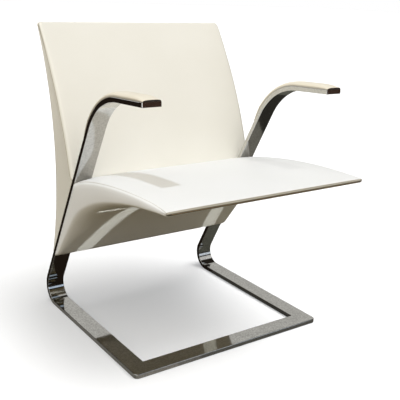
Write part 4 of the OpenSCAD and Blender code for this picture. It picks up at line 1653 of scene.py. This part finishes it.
class KeptPart(Enum):
    """CAD nodes that keep their shape, by the finish that they take."""

    PLY = ("seat_rear_board", "seat_deck", "seat_belly_board", "seat_rib_right", "seat_rib_middle",
           "seat_rib_left", "joining_board", "back_base_board", "back_front_board",
           "back_rear_board", "back_ribs")
    ZINC = ("arm_pad_plate_right", "arm_pad_plate_left", "arm_pad_screws", "seat_bolts",
            "seat_washers", "back_bolts", "joining_screws")
    BRASS = ("back_inserts",)
    NYLON = ("floor_glides",)


def dress_kept_parts(finishes: Finishes) -> None:
    """Gives each CAD node that stays its finish.

    Args:
        finishes: the chair's materials.
    """
    looks = {KeptPart.PLY: finishes.ply, KeptPart.ZINC: finishes.zinc,
             KeptPart.BRASS: finishes.brass, KeptPart.NYLON: finishes.nylon}
    for part, look in looks.items():
        for name in part.value:
            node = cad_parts[name]
            node.data.materials.clear()
            node.data.materials.append(look)
            LOG.info("%s: kept, %s", name, look.name)


# Studio


@dataclass(frozen=True)
class SkyPatch:
    """A soft lit patch of the surroundings, round a direction.

    It begins where the cosine to its middle is start and is full at full.
    """

    towards: tuple[float, float, float]
    start: float
    full: float
    colour: Colour


def box(x0: float, y0: float, x1: float, y1: float) -> tuple[Corner, ...]:
    """Returns a rectangle's corners on the floor."""
    return ((x0, y0), (x1, y0), (x1, y1), (x0, y1))


@dataclass(frozen=True)
class FloorSheet:
    """A glowing sheet on the floor that only reflections show."""

    name: str
    glow: Colour
    corners: tuple[Corner, ...]


@dataclass
class Studio:
    """Floor, surroundings, lights and camera."""

    left_key: float = 1.15
    right_key: float = 0.3
    floor_sun: float = 3.1
    floor_core_sun: float = 2.25
    stripe_watts: float = 0.03
    stripe_colour: tuple[float, float, float] = (0.98, 1.0, 0.93)
    stripe_spread: float = 3.0
    stripe_start: float = 0.055
    bounce: Colour = (0.085, 0.068, 0.036, 1)
    floor_colour: Colour = (0.455, 0.455, 0.455, 1)
    floor_glow: Colour = (0.282, 0.294, 0.314, 1)
    sky_base: Colour = (0.0, 0.0, 0.0, 1)
    sky_patches: tuple[SkyPatch, ...] = (
        SkyPatch((0, 0, 1), 0.3, 0.95, (0.40, 0.38, 0.33, 1)),
        SkyPatch((0, -0.75, 0.66), 0.5, 0.95, (0.58, 0.57, 0.58, 1)),
        SkyPatch((-0.87, 0, 0.5), 0.5, 0.95, (0.60, 0.56, 0.50, 1)),
        SkyPatch((-0.615, -0.615, 0.5), 0.5, 0.95, (0.60, 0.57, 0.47, 1)),
    )
    mirror_base: Colour = (0.03, 0.025, 0.02, 1)
    mirror_patches: tuple[SkyPatch, ...] = (
        SkyPatch((-0.87, 0, 0.5), 0.7, 0.85, (0.9, 0.9, 0.9, 1)),
        SkyPatch((-0.615, -0.615, 0.5), 0.8, 0.9, (0.9, 0.9, 0.9, 1)),
        SkyPatch((0.557, 0.778, 0.29), 0.9, 0.93, (0.72, 0.72, 0.70, 1)),
        SkyPatch((0.355, -0.90, 0.25), 0.989, 0.994, (0.8, 0.98, 1.25, 1)),
        SkyPatch((0.55, -0.80, 0.24), 0.985, 0.992, (1.0, 1.1, 1.25, 1)),
        SkyPatch((0, 0, 1), 0.85, 0.9, (0.8, 0.8, 0.8, 1)),
        SkyPatch((0.555, -0.48, 0.68), 0.96, 0.98, (1.0, 1.0, 1.0, 1)),
        SkyPatch((-0.48, 0.79, 0.39), 0.95, 0.97, (0.9, 0.9, 0.9, 1)),
    )
    sheet_h: float = 0.0003
    dark_sheet: FloorSheet = FloorSheet(
        "studio_flag", (0.02, 0.014, 0.010, 1), box(-20, -20, 20, 20))
    pale_sheets: tuple[FloorSheet, ...] = (
        FloorSheet("brown_flag", (0.065, 0.038, 0.028, 1), box(0, -20, 12, -5)),
        FloorSheet("side_flag", (0.24, 0.23, 0.21, 1),
                   ((-0.45, -0.42), (-0.296, -0.21), (-0.298, 0.31), (-0.45, 0.36))),
        FloorSheet("corner_flag", (0.36, 0.34, 0.31, 1),
                   ((-0.45, -0.42), (-0.17, -0.42), (-0.17, -0.216), (-0.296, -0.21))),
        FloorSheet("left_flag", (0.25, 0.24, 0.22, 1), box(-0.17, -0.42, -0.10, -0.216)),
        FloorSheet("front_flag", (0.16, 0.155, 0.14, 1),
                   ((-0.10, -0.42), (0.36, -0.42), (0.33, -0.216), (-0.10, -0.216))),
        FloorSheet("inner_flag", (0.07, 0.068, 0.06, 1), box(0.10, -0.17, 0.25, 0.24)),
        FloorSheet("rear_flag", (0.12, 0.12, 0.10, 1),
                   ((0.298, 0.0), (0.5, 0.0), (0.5, 0.5), (0.298, 0.34))),
        FloorSheet("right_flag", (0.19, 0.185, 0.16, 1), box(0.5, -0.3, 0.735, 0.6)),
        FloorSheet("outer_flag", (0.035, 0.033, 0.028, 1), box(0.735, -1.0, 1.0, 1.5)),
        FloorSheet("distant_flag", (0.12, 0.12, 0.10, 1), box(1.0, -1.0, 2.5, 2.5)),
    )
    floor_half: float = 30.0
    focal: float = 62.31
    sensor_w: float = 36.0
    camera_at: tuple[float, float, float] = (-1.0482, -1.5034, 0.9158)
    yaw: float = 35.61
    pitch: float = -16.97
    roll: float = 2.29

    def camera(self) -> None:
        """Makes the camera at the photo's place."""
        yaw, pitch, roll = (math.radians(v) for v in (self.yaw, self.pitch, self.roll))
        turn = (Matrix.Rotation(-yaw, 4, "Z") @ Matrix.Rotation(math.pi / 2 + pitch, 4, "X")
                @ Matrix.Rotation(roll, 4, "Z"))
        data = bpy.data.cameras.new("photo_view")
        data.lens = self.focal
        data.sensor_width = self.sensor_w
        camera = bpy.data.objects.new("photo_view", data)
        camera.matrix_world = Matrix.Translation(self.camera_at) @ turn
        bpy.context.scene.collection.objects.link(camera)
        bpy.context.scene.camera = camera

    def lamp(self, data: bpy.types.Light, at: Sequence[float], turn: Matrix,
             pieces: Sequence[Object], skip: bool = False) -> None:
        """Puts up a lamp that the camera and reflections don't see.

        Args:
            data: its lamp data.
            at: its place.
            turn: its rotation.
            pieces: the only pieces that it lights.
            skip: lights all pieces but those.
        """
        lamp = bpy.data.objects.new(data.name, data)
        lamp.matrix_world = Matrix.Translation(at) @ turn.to_4x4()
        lamp.visible_camera = False
        lamp.visible_glossy = False
        bpy.context.scene.collection.objects.link(lamp)
        group = bpy.data.collections.new(lamp.name + "_lights")
        for piece in pieces:
            group.objects.link(piece)
        if skip:
            for held in group.collection_objects:
                held.light_linking.link_state = "EXCLUDE"
        lamp.light_linking.receiver_collection = group

    def lights(self, floor: Object) -> None:
        """Places two distant lamps for the seat's shadows and two soft ones for the floor's.

        Args:
            floor: the floor, which the first two skip and the others alone light.
        """
        white, cool = (1.0, 1.0, 1.0), (0.76, 0.85, 1.0)
        for name, way, strength, disc, colour, skip in (
                ("left_key", (0.40, 0.20, -1), self.left_key, 1.2, cool, True),
                ("right_key", (-0.38, 0.18, -1), self.right_key, 3.0, white, True),
                ("floor_sun", (-0.373, 0.274, -1), self.floor_sun, 66, white, False),
                ("floor_core_sun", (-0.37, 0.235, -1), self.floor_core_sun, 34, white, False)):
            data = bpy.data.lights.new(name, "SUN")
            data.energy = strength
            data.color = colour
            data.angle = math.radians(disc)
            turn = Vector(way).to_track_quat("-Z", "Y").to_matrix()
            self.lamp(data, (0, 0, 3), turn, [floor], skip)

    def stripes(self, shell: Object) -> None:
        """Lights the bright bands that the polished runners throw on the seat's underside.

        Args:
            shell: the only piece that they light.
        """
        runner = (0.048, 0.46, self.stripe_watts)
        for name, middle, way, (width, length, watts) in (
                ("left_stripe", (-0.275, 0.02, 0.013), (0.345, 0.18, 1.0), runner),
                ("right_stripe", (0.275, 0.02, 0.013), (-0.30, 0.18, 1.0), runner),
                ("thin_stripe", (-0.236, 0.024, 0.20), (0.0, 0.0, 1.0), (0.076, 0.013, 0.0022))):
            data = bpy.data.lights.new(name, "AREA")
            data.shape = "RECTANGLE"
            data.size, data.size_y = width, length
            data.energy = watts
            data.color = self.stripe_colour
            data.spread = math.radians(self.stripe_spread)
            way = Vector(way)
            ahead = way.normalized()
            across = Vector((0, 1, 0)).cross(ahead).normalized()
            turn = Matrix((across, across.cross(ahead), -ahead)).transposed()
            self.lamp(data, Vector(middle) + way * self.stripe_start, turn, [shell])

    @staticmethod
    def flat(name: str, corners: Iterable[Sequence[float]]) -> tuple[bpy.types.Object, Shader]:
        """Returns a four-cornered sheet and the shader of its new material.

        Args:
            name: its name, and its material's.
            corners: its four corners.

        Returns:
            The sheet and the shader.
        """
        sheet = mesh_object(name, list(corners), [(0, 1, 2, 3)])
        material = bpy.data.materials.new(name)
        sheet.data.materials.append(material)
        return sheet, Shader.emptied(material)

    def sheet(self, name: str, corners: Iterable[Sequence[float]], glow: Colour) -> None:
        """Puts up a glowing sheet that only reflections show.

        Args:
            name: its name.
            corners: its four corners.
            glow: its colour and strength.
        """
        sheet, shader = self.flat(name, corners)
        shader.add("OutputMaterial", i_Surface=shader.out("Emission", i_Color=glow, i_Strength=1.0))
        sheet.visible_camera = False
        sheet.visible_diffuse = False
        sheet.visible_shadow = False

    def sheets(self) -> None:
        """Lays a dark sheet, paler ones by the base, and a card for the steel's edges."""
        for k, part in enumerate((self.dark_sheet, *self.pale_sheets)):
            high = 2 * self.sheet_h if k else self.sheet_h
            self.sheet(part.name, [(*corner, high) for corner in part.corners], part.glow)
        card = ((-0.9, -3.2, 0.1), (-3.2, 0.2, 0.1), (-3.2, 0.2, 1.1), (-0.9, -3.2, 1.1))
        self.sheet("edge_card", card, (1.6, 1.6, 1.6, 1))

    def floor(self) -> Object:
        """Makes the pale floor, white where nothing shades it, and returns it.

        Returns:
            The floor.
        """
        size = self.floor_half
        corners = box(-size, -size, size, size)
        floor, shader = self.flat("studio_floor", [(*corner, 0) for corner in corners])
        path = shader.add("LightPath").outputs
        seen = shader.math("MAXIMUM", path["Is Camera Ray"], path["Is Glossy Ray"])
        seen = shader.math("MAXIMUM", seen, path["Is Transmission Ray"])
        dim = shader.out("BsdfDiffuse", i_Color=self.bounce)
        pale = shader.out("BsdfDiffuse", i_Color=self.floor_colour)
        glow = shader.out("Emission", i_Color=self.floor_glow, i_Strength=1.0)
        both = shader.out("AddShader", i_0=pale, i_1=glow)
        shader.add("OutputMaterial", i_Surface=shader.out("MixShader", i_0=seen, i_1=dim, i_2=both))
        return floor

    @staticmethod
    def sky(shader: Shader, way: Socket, base: Colour, patches: Sequence[SkyPatch]) -> Socket:
        """Returns the background of a sky of soft lit patches, by direction.

        Args:
            shader: the node tree to build in.
            way: the direction looked in.
            base: the colour between the patches.
            patches: the lit patches.

        Returns:
            The background's output.
        """
        total = base
        for patch in patches:
            dot = shader.add("VectorMath", operation="DOT_PRODUCT", i_0=way, i_1=patch.towards)
            share = shader.out("MapRange", interpolation_type="SMOOTHSTEP",
                               i_0=dot.outputs["Value"], i_1=patch.start, i_2=patch.full)
            total = shader.blend(share, total, patch.colour, "ADD")
        return shader.out("Background", i_Strength=1.0, i_Color=total)

    def surroundings(self) -> None:
        """Makes the world: white to the camera, a studio with dark walls in reflections."""
        world = bpy.data.worlds.new("studio")
        bpy.context.scene.world = world
        shader = Shader.emptied(world)
        path = shader.add("LightPath").outputs
        way = shader.add("TexCoord").outputs["Generated"]
        fill = self.sky(shader, way, self.sky_base, self.sky_patches)
        mirror = self.sky(shader, way, self.mirror_base, self.mirror_patches)
        white = shader.out("Background", i_Color=(1, 1, 1, 1), i_Strength=1.0)
        shiny = shader.out("MixShader", i_0=path["Is Glossy Ray"], i_1=fill, i_2=mirror)
        seen = shader.out("MixShader", i_0=path["Is Camera Ray"], i_1=shiny, i_2=white)
        shader.add("OutputWorld", i_Surface=seen)

    def build(self) -> None:
        """Sets up the whole studio but for the stripes."""
        self.camera()
        floor = self.floor()
        self.sheets()
        self.surroundings()
        self.lights(floor)
        bpy.context.scene.view_settings.view_transform = "Standard"


def main() -> None:
    """Builds the chair's looks piece by piece."""
    logging.basicConfig(level=logging.INFO, format="%(message)s")
    finishes = Finishes()
    studio = Studio()
    studio.build()
    SteelFrame(SIZES).build(finishes)
    shell = SeatBody(SIZES).build(finishes)
    studio.stripes(shell)
    BackBody(SIZES).build(finishes)
    ArmPads(SIZES).build(finishes)
    dress_kept_parts(finishes)


if __name__ == "__main__":
    main()
